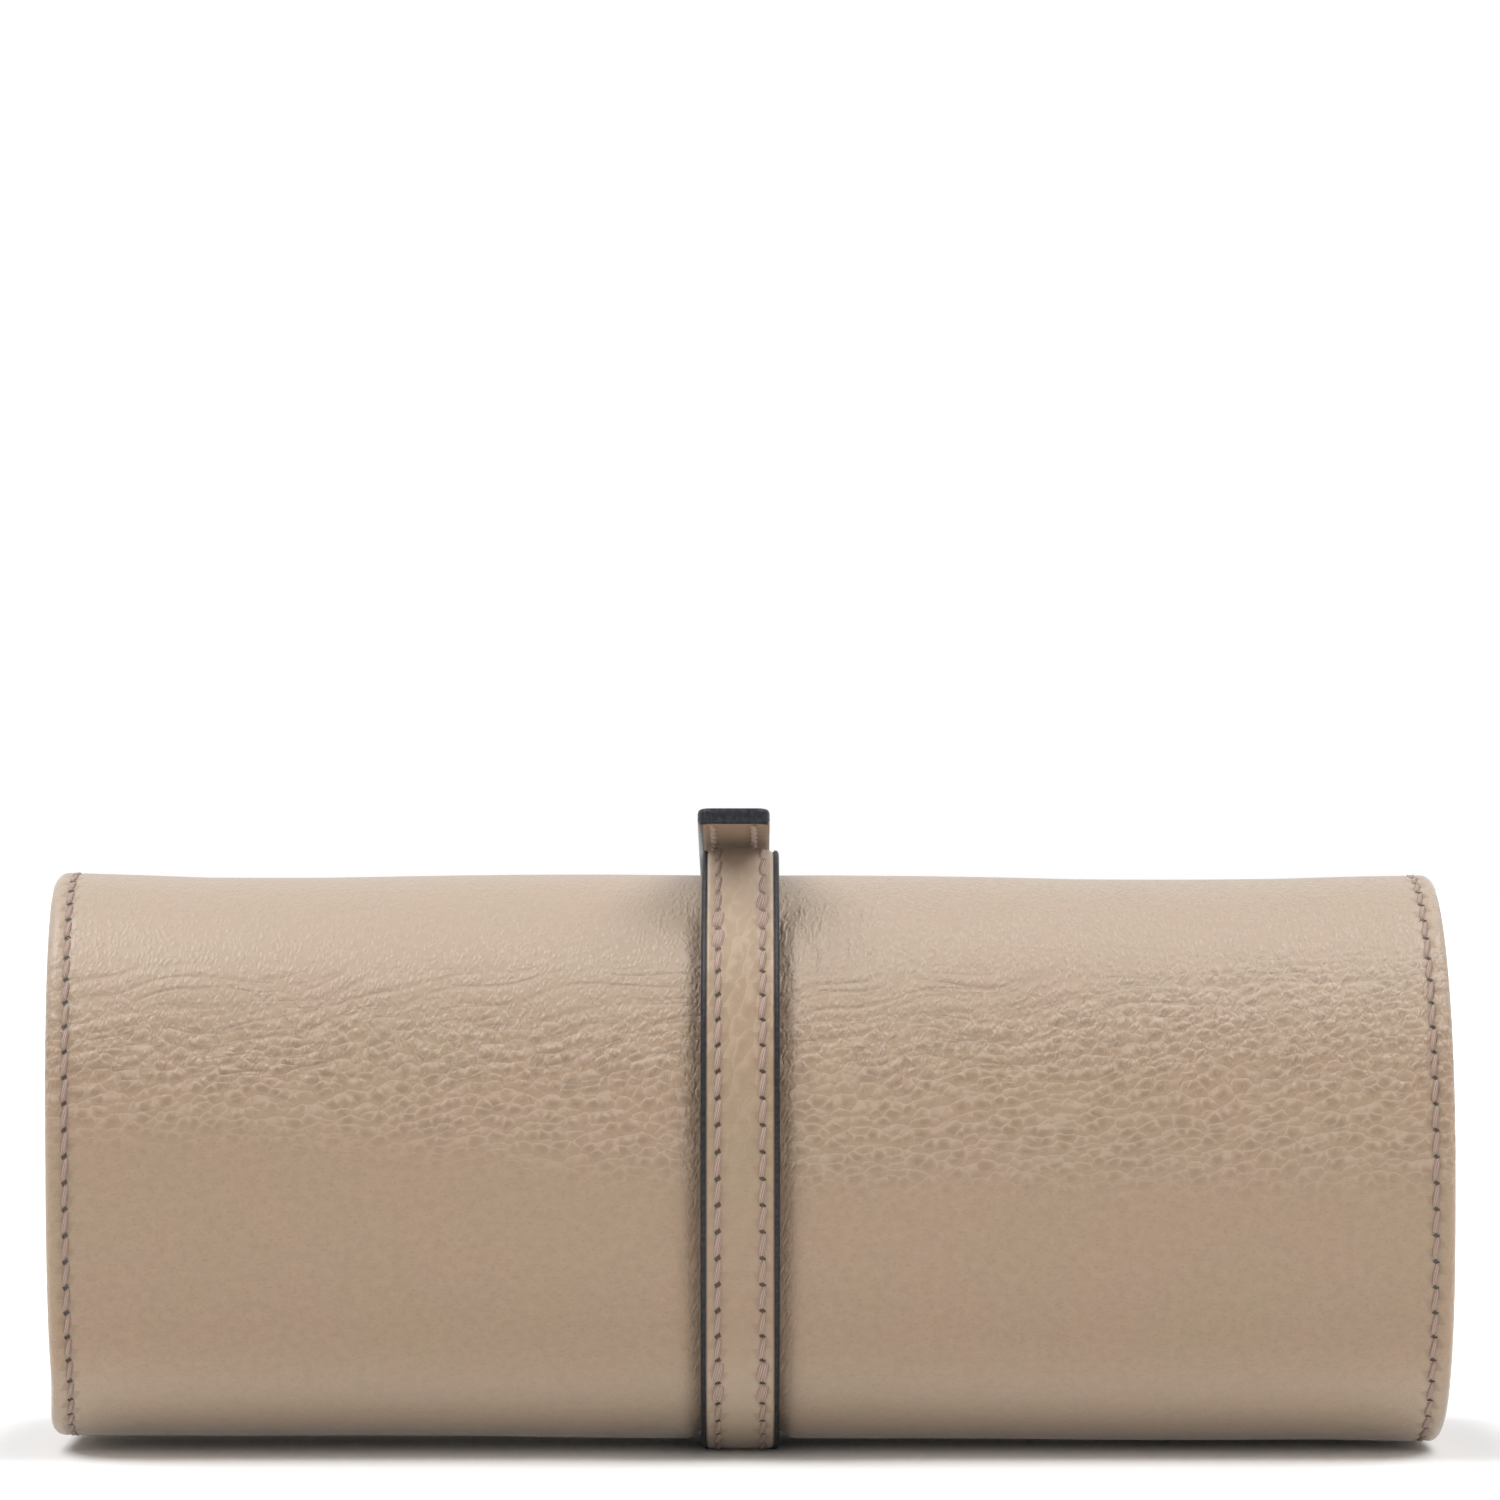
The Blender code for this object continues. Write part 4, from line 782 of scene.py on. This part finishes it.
TIP_ROUNDING, TIP_LOSS = 2.6 * MM, 1.7 * MM
SHORT_END_ROUNDING, SHORT_END_LOSS = 1.6 * MM, 1.2 * MM


def corner_loss(run, inset):
    """Half width that the strap's rounded ends take away, at this inset from its outline."""
    tip = np.clip((TIP_ROUNDING - (run - inset)) / TIP_ROUNDING, 0, 1)
    short = np.clip((SHORT_END_ROUNDING - (STRAP_END - inset - run)) / SHORT_END_ROUNDING, 0, 1)
    return TIP_LOSS * (1 - np.sqrt(1 - tip ** 2)) + SHORT_END_LOSS * (1 - np.sqrt(1 - short ** 2))


PLY_INSET, PLY_END_INSET = 0.75 * MM, 0.12 * MM
PLY_LINE, BACKING_TOP, PLY_CROWN = 0.5 * MM, 0.45 * MM, 0.12 * MM
PLY_RIM, RIM_DROP, BACK_RIM_DROP = 0.5 * MM, 0.35 * MM, 0.2 * MM
THREAD_BED, THREAD_BED_AT, THREAD_BED_WIDTH = 0.18 * MM, 3.7 * MM, 0.45 * MM
PLY_COLUMNS = 27
BACKING_MAP = 40 * MM


def strap_ply(name, start, end, low, high, crown, wider=0.0):
    """One ply of the strap as a thin closed plate, slightly crowned; wider is added at its right edge."""
    across = np.concatenate([np.linspace(-1, 1, PLY_COLUMNS), np.linspace(1, -1, PLY_COLUMNS)])
    run = spaced((max(start, PLY_INSET), min(end, STRAP_END - PLY_END_INSET)), (STRAP_STEP,))
    ply, column, row = sheet_grid(name, len(across), len(run))
    upper = column < PLY_COLUMNS
    width = STRAP_HALF_WIDTH - PLY_INSET - corner_loss(run[row], PLY_INSET)
    x = across[column] * width + wider * (across[column] + 1) / 2
    rim = np.clip(1 - (width + wider * (x > 0) - abs(x)) / PLY_RIM, 0, 1) ** 2
    top = high - crown - RIM_DROP * rim + crown * (1 - across[column] ** 2)
    top = top - THREAD_BED * bell(abs(x) - THREAD_BED_AT, THREAD_BED_WIDTH)
    height = np.where(upper, top, low + BACK_RIM_DROP * rim)
    return laid_out(ply, on_strap(x, run[row], height), np.stack([x + BACKING_MAP * ~upper, run[row]], -1))


STRAP_STRETCHES = [
    ("tip", 0.0, ROOT_RUN + 9 * MM, ["strap_tip"], "strap_tip", "strap_tail", ROOT_RUN, 3 * MM, 6 * MM),
    ("tail", ROOT_RUN + 9 * MM, EDGE_RUN + 5 * MM, ["strap_tail"], "strap_tail", "back_flap", EDGE_RUN,
     5 * MM, 3 * MM),
]
STRAP_CUTS = [EDGE_RUN + 5 * MM] + [EDGE_RUN + seam - FLAP_RUN for seam in SEAMS[2:6]] + [STRAP_END]
STRAP_SOLIDS = (["strap_back"], ["strap_back_corner"], ["strap_under"], ["strap_front_corner"],
                ["strap_front", "strap_short_end"])
for label, start, end, solids in zip(FOLDS, STRAP_CUTS, STRAP_CUTS[1:], STRAP_SOLIDS):
    body_a, body_b, angle, before, after = FOLDS[label]
    STRAP_STRETCHES.append((label, start, end, solids, body_a, body_b, strap_at(angle), before, after))

STRAP_LENGTH_MM = STRAP_END / MM
strap_leather = leather_finish(
    "strap_leather", (0.352, 0.252, 0.16), (0.255, 0.178, 0.112), (0.361, 0.247, 0.162),
    amounts=(0.75, 0.1, 0.3), depth=0.07 * MM, rows=(("X", STRAP_SEWN, STRAP_PITCH),), roughness=0.4,
    stretch=(0.55, 0.75), turn=-68, veil=0.3, foot=(STRAP_LENGTH_MM - 122, STRAP_LENGTH_MM - 104),
    short_end=STRAP_LENGTH_MM)
# the backing ply, the same hide as the face, is painted darker: painted shade of the tip's underside
strap_backing = leather_finish(
    "strap_backing", (0.25, 0.175, 0.112), (0.17, 0.115, 0.072), (0.26, 0.18, 0.118),
    amounts=(0.1, 0.1, 0.1), depth=0.1 * MM, rows=(("X", BACKING_MAP + STRAP_SEWN, STRAP_PITCH),),
    roughness=0.6, veil=0.05)

# Painted edge. Both plies are sanded together and sealed with dark grey edge paint in several coats,
# which leaves a glossy rounded bead with a faint line between the plies.
BEAD_WIDTH, BEAD_LINE, BEAD_SINK = 0.85 * MM, 0.13 * MM, 0.55 * MM
TIP_RADIUS, SHORT_END_RADIUS = 2.4 * MM, 1.3 * MM
TIP_OVERLAP = 0.66 * MM
DOUBLE_SEWN = 0.42 * MM
# Double stitches: millimetres from the short end, left and right, and steps above the front's foot.
DOUBLES = {-1: (17.4, 21.8), 1: (14, 18.3)}
LOW_DOUBLES = (1, 2)
FOOT_ANGLE = -50
MIRRORED = np.array([-1, 1, -1, 1])
edge_paint, shader = new_finish("edge_paint", 0.4, Specular_IOR_Level=0.2)
coat = clouds(pattern_in_mm(shader), 1.2, 3.0)
painted(shader, blended(ramped(coat, 0.35, 0.7), (0.011, 0.012, 0.015), (0.03, 0.031, 0.036)), coat, 0.1 * MM)


def painted_edge(name, outline):
    """A bead of edge paint along points (across, along, outward across, outward along) of the outline."""
    turn = np.radians(np.linspace(-90, 90, 13))
    out = BEAD_WIDTH * (np.cos(turn) ** 0.55 - 1) - BEAD_LINE * bell(turn - 0.02, 0.16)
    high = (STRAP_PROUD + STRAP_UNDER) / 2 + (STRAP_PROUD - STRAP_UNDER) / 2 * np.sin(turn)
    out, high = np.append(out, out[0]), np.append(high, high[0])
    bead, column, row = sheet_grid(name, len(out), len(outline))
    x, s, out_x, out_s = outline[row].T
    sunk = BEAD_SINK * (high[column] > PLY_LINE) * np.clip(out_s, 0, 1)
    place = on_strap(x + out_x * out[column], s + out_s * out[column], high[column] - sunk)
    return laid_out(bead, place, np.stack([high[column], row * STRAP_STEP], -1))


def side_line(start, end, side):
    """Outline points down one side of the strap."""
    run = spaced((start, end), (STRAP_STEP,))
    return np.stack([np.full(len(run), side * STRAP_HALF_WIDTH), run, np.full(len(run), side), 0 * run], -1)


def round_end(start, end, radius, at_start):
    """Outline points down one side, round an end with soft corners and back."""
    turn = np.radians(np.linspace(0, 90, 9))
    way, tip = (-1, start) if at_start else (1, end)
    corner = np.stack([STRAP_HALF_WIDTH - radius * (1 - np.cos(turn)),
                       tip - way * radius * (1 - np.sin(turn)), np.cos(turn), way * np.sin(turn)], -1)
    straight = spaced((radius - STRAP_HALF_WIDTH, STRAP_HALF_WIDTH - radius), (STRAP_STEP,))[::-1]
    across = np.stack([straight, np.full(len(straight), tip), 0 * straight, np.full(len(straight), way)], -1)
    down = side_line(start + radius, end, 1)[::-1] if at_start else side_line(start, end - radius, 1)
    other_corner, other_side = corner[::-1] * MIRRORED, down[::-1] * MIRRORED
    return np.concatenate([down[:-1], corner, across[1:-1], other_corner, other_side[1:]])


for label, start, end, solids, body_a, body_b, here, before, after in STRAP_STRETCHES:
    wider = TIP_OVERLAP if label == "tip" else 0.0
    face = strap_ply("strap_face_" + label, start, end, PLY_LINE, STRAP_PROUD, PLY_CROWN)
    back = strap_ply("strap_back_" + label, start, end, STRAP_UNDER - wider / 20, BACKING_TOP, 0, wider)
    pieces = [dressed(face, strap_leather, solids, "_face"),
              dressed(back, strap_backing, solids, "_backing")]
    if label == "tip":
        beads = {"tip": round_end(start, end, TIP_RADIUS, True)}
    elif end == STRAP_END:
        beads = {"short_end": round_end(start, end, SHORT_END_RADIUS, False)}
    else:
        beads = {"left_" + label: side_line(start, end, -1), "right_" + label: side_line(start, end, 1)}
    pieces += [dressed(painted_edge("strap_edge_" + name, outline), edge_paint)
               for name, outline in beads.items()]
    marks = [mark for mark in in_step(start, end, STRAP_PITCH) if 2.2 * MM < mark < STRAP_END - 2.2 * MM]
    spots = [(side * STRAP_SEWN, mark, 0) for side in (-1, 1) for mark in marks]
    for side, from_end in DOUBLES.items():
        doubles = [STRAP_END - back * MM for back in from_end]
        doubles += [strap_at(FOOT_ANGLE) + STRAP_PITCH * up for up in LOW_DOUBLES]
        spots += [(side * STRAP_SEWN + DOUBLE_SEWN * way, mark, 0) for mark in marks for way in (-1, 1)
                  if min(abs(mark - double) for double in doubles) < STRAP_PITCH / 2]
    pieces += [sewn("strap_stitching_" + side + label, spots, lay, width=0.5 * MM)
               for side, lay in (("face_", over(on_strap, STRAP_PROUD - 0.2 * MM)),
                                 ("back_", over(on_strap, STRAP_UNDER, -1)))]
    ends = on_strap(np.zeros(2), np.array([here - before, here + after]), 0)
    for piece in pieces:
        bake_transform(piece)

# Lining and foam. Suede-like microfibre is glued over the inside, over thin foam in the bottom, the
# front and the back flap, and is tucked against the turned hems; each length is held as its leather is.
INSIDE_HALF_WIDTH = 106.75 * MM
LINING_INSET = 8.25 * MM
LINING_NEAR = 3.2 * MM
FOAM_NEAR, FOAM_FAR = 2 * MM, 3 * MM
FOLD_ROOM = 6 * MM
PLATE_STEP, FOAM_STEP = 1.6 * MM, 4 * MM
INNER_MAP = 300 * MM
RIM_SHARES = np.array([0, 0.06, 0.28, 0.6])
FOAM_SPANS = (("bottom", fold_run["back"] + FOLD_ROOM, fold_run["foot"] - FOLD_ROOM),
              ("front", fold_run["corner"] + FOLD_ROOM, fold_run["front"] - 2 * FOLD_ROOM),
              ("back_flap", FLAP_RUN + LINING_INSET, fold_run["flap"] - FOLD_ROOM))

suede, shader = new_finish("suede_microfibre", 0.92, Sheen_Weight=0.35, Sheen_Roughness=0.45,
                           Specular_IOR_Level=0.2)
nap = pattern_in_mm(shader)
brushed, pile = clouds(nap, (1.4, 0.22, 1.0), 3.0), clouds(nap, 4.5)
tint = blended(ramped(clouds(nap, 0.035, 3.0), 0.35, 0.65), (0.475, 0.385, 0.295), (0.515, 0.42, 0.325))
tint = layered(tint, (ramped(brushed, 0.35, 0.7, 0.0, 0.35), (0.39, 0.31, 0.235)),
               (ramped(pile, 0.35, 0.75, 0.0, 0.3), (0.58, 0.48, 0.38)))
painted(shader, tint, times(brushed, 0.8, pile), 0.12 * MM)

foam, shader = new_finish("open_cell_foam", 0.95, Specular_IOR_Level=0.15)
bubbles = cells(pattern_in_mm(shader), (2.2, 2.2, 1.0))
painted(shader, blended(ramped(bubbles, 0.0, 0.3), (0.62, 0.58, 0.5), (0.76, 0.72, 0.64)), bubbles, 0.3 * MM)


def inner_plate(name, start, end, half_width, near, far, free=(True, True), step=PLATE_STEP, relief=None):
    """A thin closed plate between two depths under the leather's outside, with soft edges."""
    radius = (far - near) / 2
    rim = radius * RIM_SHARES
    across = spaced((radius - half_width, half_width - radius), (step,))
    across = np.concatenate([rim - half_width, across, (half_width - rim)[::-1]])
    run = spaced((start + radius * free[0], end - radius * free[1]), (step,))
    run = np.concatenate([start + rim[:len(rim) * free[0]], run, end - rim[:len(rim) * free[1]][::-1]])
    plate, column, row = sheet_grid(name, 2 * len(across), len(run))
    x, s = np.concatenate([across, across[::-1]])[column], run[row]
    edge = from_edge(x, s, half_width, start, end, free)
    drop = radius * (1 - np.sqrt(1 - np.clip(1 - edge / radius, 0, 1) ** 2))
    inward = column >= len(across)
    depth = np.where(inward, far - drop, near + drop) + (relief(x, s) if relief else 0)
    return laid_out(plate, on_wrap(x, s, -depth), np.stack([x + INNER_MAP * inward, s], -1))


def lining_relief(across, run):
    """Slow unevenness of the glued lining."""
    return swell(across, run, 0.14 * MM, (11 * MM, 7 * MM, 19 * MM))


for label, start, end, solids, free in STRETCHES:
    lining = inner_plate("lining_" + label, start + LINING_INSET * free[0], end - LINING_INSET * free[1],
                         INSIDE_HALF_WIDTH, LINING_NEAR, WALL, free, relief=lining_relief)
    held(dressed(lining, suede, solids, "_lining"), label)

for body, start, end in FOAM_SPANS:
    pad = inner_plate("foam_" + body, start, end, INSIDE_HALF_WIDTH, FOAM_NEAR, FOAM_FAR, step=FOAM_STEP)
    dressed(pad, foam, [body], "_padding")
    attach(pad, body)

# Zip pockets. A suede panel is hemmed down at its ends and foot, and stays open along the zip; the zip
# is a woven tape in two halves, sewn to the lining, with moulded teeth, a metal slider and a pull.
ZIPS = (("front", "front", 17, -22), ("back", "back_flap", -180, -157))
ZIP_HALF_LENGTH = 98 * MM
TAPE_FROM, TAPE_TO, TAPE_SEWN = 0.6 * MM, 7.1 * MM, 5.7 * MM
TAPE_RISE, TAPE_PITCH = 0.3 * MM, 2.6 * MM
TAPE_FACE = WALL + TAPE_RISE + 0.5 * MM
PANEL_MOUTH = 3.8 * MM
PANEL_HALF_WIDTH = 102.6 * MM
PANEL_RISE = 1.1 * MM
PANEL_FACE = WALL + PANEL_RISE + 0.6 * MM
PANEL_HEM, PANEL_SEWN, PANEL_PITCH = 4 * MM, 2 * MM, 3 * MM
EASED_FROM = math.radians(40)

woven, shader = new_finish("woven_tape", 0.85, Sheen_Weight=0.2)
pattern = pattern_in_mm(shader)
split = split_up(pattern)
twill = reckoned("SINE", times(reckoned("ADD", split["X"], split["Y"]), 9.0))
weave = times(twill, 0.6, reckoned("SINE", times(split["Y"], 14.0)))
tint = blended(ramped(weave, -1.2, 0.8), (0.19, 0.145, 0.108), (0.36, 0.285, 0.22))
tint = blended(ramped(clouds(pattern, 0.2, 3.0), 0.4, 0.7, 0.0, 0.25), tint, (0.42, 0.34, 0.27))
painted(shader, tint, weave, 0.08 * MM)

moulded, shader = new_finish("moulded_teeth", 0.38)
cloud = clouds(coordinates(shader, "Object"), 900.0)
painted(shader, blended(ramped(cloud, 0.3, 0.7), (0.25, 0.195, 0.15), (0.34, 0.27, 0.21)), cloud, 0.05 * MM)

nickel, shader = new_finish("plated_nickel", 0.22, Metallic=1.0)
there = coordinates(shader, "Object")
haze, brush = clouds(there, 300.0, 4.0), clouds(there, (120.0, 2600.0, 2600.0))
painted(shader, blended(ramped(haze, 0.35, 0.7), (0.64, 0.625, 0.6), (0.75, 0.735, 0.71)), brush, 0.01 * MM)
joined(ramped(reckoned("ADD", haze, brush), 0.7, 1.4, 0.16, 0.36), shader.inputs["Roughness"])


def refined(solid, name, body, width, finish, segments=2):
    """A finer copy of a CAD solid: merged, with its edges eased."""
    piece = new_piece(name, bpy.data.objects[solid].data.copy())
    mended(piece, weld=0.004 * MM, flatten=math.radians(1))
    eased_edges = piece.modifiers.new("eased_edges", "BEVEL")
    eased_edges.width = width
    eased_edges.segments = segments
    eased_edges.limit_method = "ANGLE"
    eased_edges.angle_limit = EASED_FROM
    bpy.ops.object.modifier_apply(modifier=eased_edges.name)
    bpy.ops.object.shade_smooth_by_angle(angle=EASED_FROM)
    piece.data.materials.clear()
    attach(dressed(piece, finish, [solid]), body)


def pocket_relief(mouth, foot):
    """How far a pocket's panel stands lower at its hems, and fuller over the pocket."""
    def relief(x, s):
        edge = np.minimum(PANEL_HALF_WIDTH - abs(x), abs(s - foot))
        hemmed = 1 - eased((edge - PANEL_HEM) / (2 * MM))
        full = eased(abs(s - mouth) / (9 * MM)) * eased((edge - PANEL_HEM) / (8 * MM))
        slack = 0.3 * MM + 0.25 * MM * np.sin(x / (11 * MM)) * np.sin(s / (6 * MM) + x / (23 * MM))
        groove = 0.12 * MM * bell(edge - PANEL_SEWN, 0.5 * MM)
        return -(PANEL_RISE - TAPE_RISE) * hemmed - groove + full * slack
    return relief


for side, body, zip_angle, foot_angle in ZIPS:
    centre, foot = run_at(zip_angle), run_at(foot_angle)
    way = 1 if foot > centre else -1
    mouth = centre + way * PANEL_MOUTH
    for half, toward in (("pocket", way), ("outer", -way)):
        start, end = sorted((centre + toward * TAPE_FROM, centre + toward * TAPE_TO))
        tape = inner_plate(side + "_tape_" + half, start, end, ZIP_HALF_LENGTH, WALL + TAPE_RISE, TAPE_FACE)
        spots = [(TAPE_PITCH * step, centre + toward * TAPE_SEWN, 1) for step in range(-36, 37)]
        row = sewn(side + "_tape_stitching_" + half, spots, over(on_wrap, -TAPE_FACE, -1),
                   0.05 * MM, 2.2 * MM, 0.18 * MM)
        for piece in (dressed(tape, woven, [side + "_zip_tape_" + half]), row):
            if (side, half) == ("front", "outer"):
                fold(piece)
            else:
                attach(piece, body)

    relief = pocket_relief(mouth, foot)
    panel = inner_plate(side + "_pocket", *sorted((mouth, foot)), PANEL_HALF_WIDTH, WALL + PANEL_RISE,
                        PANEL_FACE, relief=relief)
    line, ends = foot - way * PANEL_SEWN, PANEL_HALF_WIDTH - PANEL_SEWN
    spots = [(PANEL_PITCH * step, line, 1) for step in range(-33, 34)]
    spots += [(end * ends, line - way * PANEL_PITCH * step, 0) for end in (-1, 1)
              for step in range(1, int(abs(line - mouth) / PANEL_PITCH))]
    row = sewn(side + "_pocket_stitching", spots, over(on_wrap, lambda x, s: -PANEL_FACE - relief(x, s), -1),
               0.05 * MM, 2.6 * MM, 0.22 * MM)
    for piece in (dressed(panel, suede, [side + "_pocket_panel"]), row):
        if side == "back":
            fold(piece)
        else:
            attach(piece, body)
    refined(side + "_zip_chain", side + "_teeth", body, 0.12 * MM, moulded, 1)
    refined(side + "_zip_slider", side + "_slider_metal", side + "_slider", 0.16 * MM, nickel)
    refined(side + "_zip_pull", side + "_pull_metal", side + "_pull", 0.28 * MM, nickel, 3)

# Ring bar. A stuffed suede roll lies on the leaf; a leather tab holds its left end, and the tab at its
# right end snaps over a stud, so that rings slide on when it is lifted.
BAR_ANGLE = 149
BAR_FROM, BAR_TO = -82 * MM, 76 * MM
BAR_RADIUS, FILLING_RADIUS = 9 * MM, 7.7 * MM
BAR_AXIS_DEPTH = WALL + 9.3 * MM
BAR_STEP = 1.2 * MM
BAR_SPOKES, BAR_END_RINGS = 72, 12
BAR_SEAM = 0.5 * MM
PLEATS, PLEAT_DEPTH, PLEAT_AT, PLEAT_REACH = 18, 0.35 * MM, 6 * MM, 3.2 * MM
TIE_DEPTH, TIE_AT, TIE_WIDTH = 0.3 * MM, 9.5 * MM, 0.5 * MM
LUMP_DEPTH = 0.12 * MM


def bar_point(x, radius, turn):
    """A place round the ring bar's axis; a turn of 0 points away from the leaf."""
    base, ahead = [on_wrap(np.zeros(1), np.array([run_at(BAR_ANGLE)]), -BAR_AXIS_DEPTH - depth)[0, 1:]
                   for depth in (0, 1)]
    inward = ahead - base
    y = base[0] + radius * (np.cos(turn) * inward[0] - np.sin(turn) * inward[1])
    z = base[1] + radius * (np.cos(turn) * inward[1] + np.sin(turn) * inward[0])
    return np.stack([x, y, z], -1)


def stuffed_roll(name, radius, finish, solid, seam):
    """A stuffed roll with round ends; the cover has a lengthwise seam and gathers at both ends."""
    turn = np.radians(np.linspace(-90, 90, 2 * BAR_END_RINGS + 1))
    left, right = turn[:BAR_END_RINGS], turn[BAR_END_RINGS + 1:]
    straight = spaced((BAR_FROM, BAR_TO), (BAR_STEP,))
    x = np.concatenate([BAR_FROM + radius * np.sin(left), straight, BAR_TO + radius * np.sin(right)])
    reach = np.concatenate([radius * np.cos(left), np.full(len(straight), radius), radius * np.cos(right)])
    roll, column, row = sheet_grid(name, BAR_SPOKES + 1, len(x))
    spin = np.radians(column % BAR_SPOKES * 360 / BAR_SPOKES)
    place, size = x[row], reach[row]
    end = np.minimum(place - x[0], x[-1] - place)
    if seam:
        from_seam = np.remainder(spin + math.pi / 2, 2 * math.pi) - math.pi
        pleats = 0.5 + 0.5 * np.cos(PLEATS * spin)
        size = size - seam * bell(from_seam, 0.055) * eased(size / (0.5 * radius))
        gathered = pleats * bell(end - PLEAT_AT, PLEAT_REACH) * eased(size / (0.4 * radius))
        size = size - PLEAT_DEPTH * gathered - TIE_DEPTH * bell(end - TIE_AT, TIE_WIDTH)
        lumps = np.sin(place / (7 * MM) + 2 * np.sin(spin)) * np.sin(3 * spin + place / (13 * MM))
        size = size - LUMP_DEPTH * (1 + lumps)
    laid_out(roll, bar_point(place, np.maximum(size, 0), spin), np.stack([spin * radius, place], -1), 60)
    dressed(roll, finish, [solid])
    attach(roll, "ring_bar")


stuffed_roll("ring_roll_cover", BAR_RADIUS, suede, "ring_bar_cover", BAR_SEAM)
stuffed_roll("ring_roll_filling", FILLING_RADIUS, foam, "ring_bar_filling", 0)

tab_hide, shader = new_finish("tab_leather", 0.45)
there = moved("MULTIPLY", coordinates(shader, "Object"), (1000.0, 1000.0, 1000.0))
pores = cells(there, (0.9, 0.9, 0.9))
tint = blended(ramped(clouds(there, 0.12, 3.0), 0.35, 0.65), (0.375, 0.27, 0.18), (0.385, 0.265, 0.18))
tint = blended(ramped(pores, 0.12, 0.0, 0.0, 0.35), tint, (0.25, 0.176, 0.112))
painted(shader, tint, ramped(pores, 0.0, 0.25), 0.12 * MM)
refined("ring_bar_anchor", "anchor_tab", "leaf", 0.3 * MM, tab_hide, 3)
refined("snap_tab", "snap_flap", "ring_bar", 0.3 * MM, tab_hide, 3)
refined("snap_stud", "stud_metal", "leaf", 0.15 * MM, nickel)
refined("snap_socket", "socket_metal", "ring_bar", 0.15 * MM, nickel)

# Magnets. Two flat discs of plated steel are laid in seats between the strap's plies before they are
# sewn together, one in the tip and one in the short end, and hold the tip shut.
for magnet in ("tip_magnet", "short_end_magnet"):
    solid = bpy.data.objects[magnet]
    solid.data.materials.clear()
    solid.data.materials.append(nickel)

# Studio. A pale floor runs into a plain white backdrop, with a soft light above at each side and a weak
# one in front; the camera stands level before the roll.
FLOOR_SIZE = 8
ROLL_REACH = 0.113
EYE = (0, -1.026, 0.1168)
LENS, FILM_WIDTH, NEAREST = 145.8, 36, 0.05
AIM = Vector((0, 0, 0.05))
LIGHTS = (("left_light", (-0.6, -0.15, 0.98), 0.6, 0.6, 8.15),
          ("right_light", (0.6, -0.15, 0.98), 0.6, 0.6, 7.25),
          ("front_light", (0.2, -1.6, 0.35), 1.2, 0.5, 0.9))


def looked_at(shader):
    """1 for rays from the eye or from a mirror, which see the backdrop plain white."""
    rays = node(shader.id_data, "ShaderNodeLightPath").outputs
    return reckoned("MAXIMUM", rays["Is Camera Ray"], reckoned(
        "MAXIMUM", rays["Is Glossy Ray"], rays["Is Transmission Ray"]))


picked(None)
bpy.ops.mesh.primitive_plane_add(size=FLOOR_SIZE, location=(0, 0, 0))
floor = bpy.context.object
floor.name = "floor"
pale, shader = new_finish("pale_floor", 0.9, Base_Color=(0.92, 0.92, 0.92, 1), Emission_Strength=1.0)
spread = moved("ABSOLUTE", coordinates(shader, "Object"))
spread = moved("MAXIMUM", moved("SUBTRACT", spread, (ROLL_REACH, 0.0, 0.0)), (0.0, 0.0, 0.0))
spread = moved("MULTIPLY", spread, (4.0, 1.0, 0.0))
away = node(shader.id_data, "ShaderNodeVectorMath", {0: spread}, operation="LENGTH").outputs["Value"]
lit = times(ramped(away, 0.04, 0.16), looked_at(shader))
joined(blended(lit, (0, 0, 0), (1, 1, 1)), shader.inputs["Emission Color"])
floor.data.materials.append(pale)

world = bpy.context.scene.world or bpy.data.worlds.new("studio")
bpy.context.scene.world = world
world.use_nodes = True
sky = world.node_tree.nodes["Background"]
sky.inputs["Color"].default_value = (1, 1, 1, 1)
joined(ramped(looked_at(sky), 0.0, 1.0, 0.46, 1.0), sky.inputs["Strength"])

for name, place, width, height, power in LIGHTS:
    picked(None)
    bpy.ops.object.light_add(type="AREA", location=place)
    lamp = bpy.context.object
    lamp.name = name
    lamp.data.shape = "RECTANGLE"
    lamp.data.size, lamp.data.size_y = width, height
    lamp.data.energy = power
    lamp.rotation_euler = (AIM - Vector(place)).to_track_quat("-Z", "Y").to_euler()

picked(None)
bpy.ops.object.camera_add(location=EYE, rotation=(math.pi / 2, 0, 0))
camera = bpy.context.object
camera.data.lens = LENS
camera.data.sensor_width = FILM_WIDTH
camera.data.clip_start = NEAREST
bpy.context.scene.camera = camera
bpy.context.scene.view_settings.view_transform = "Standard"
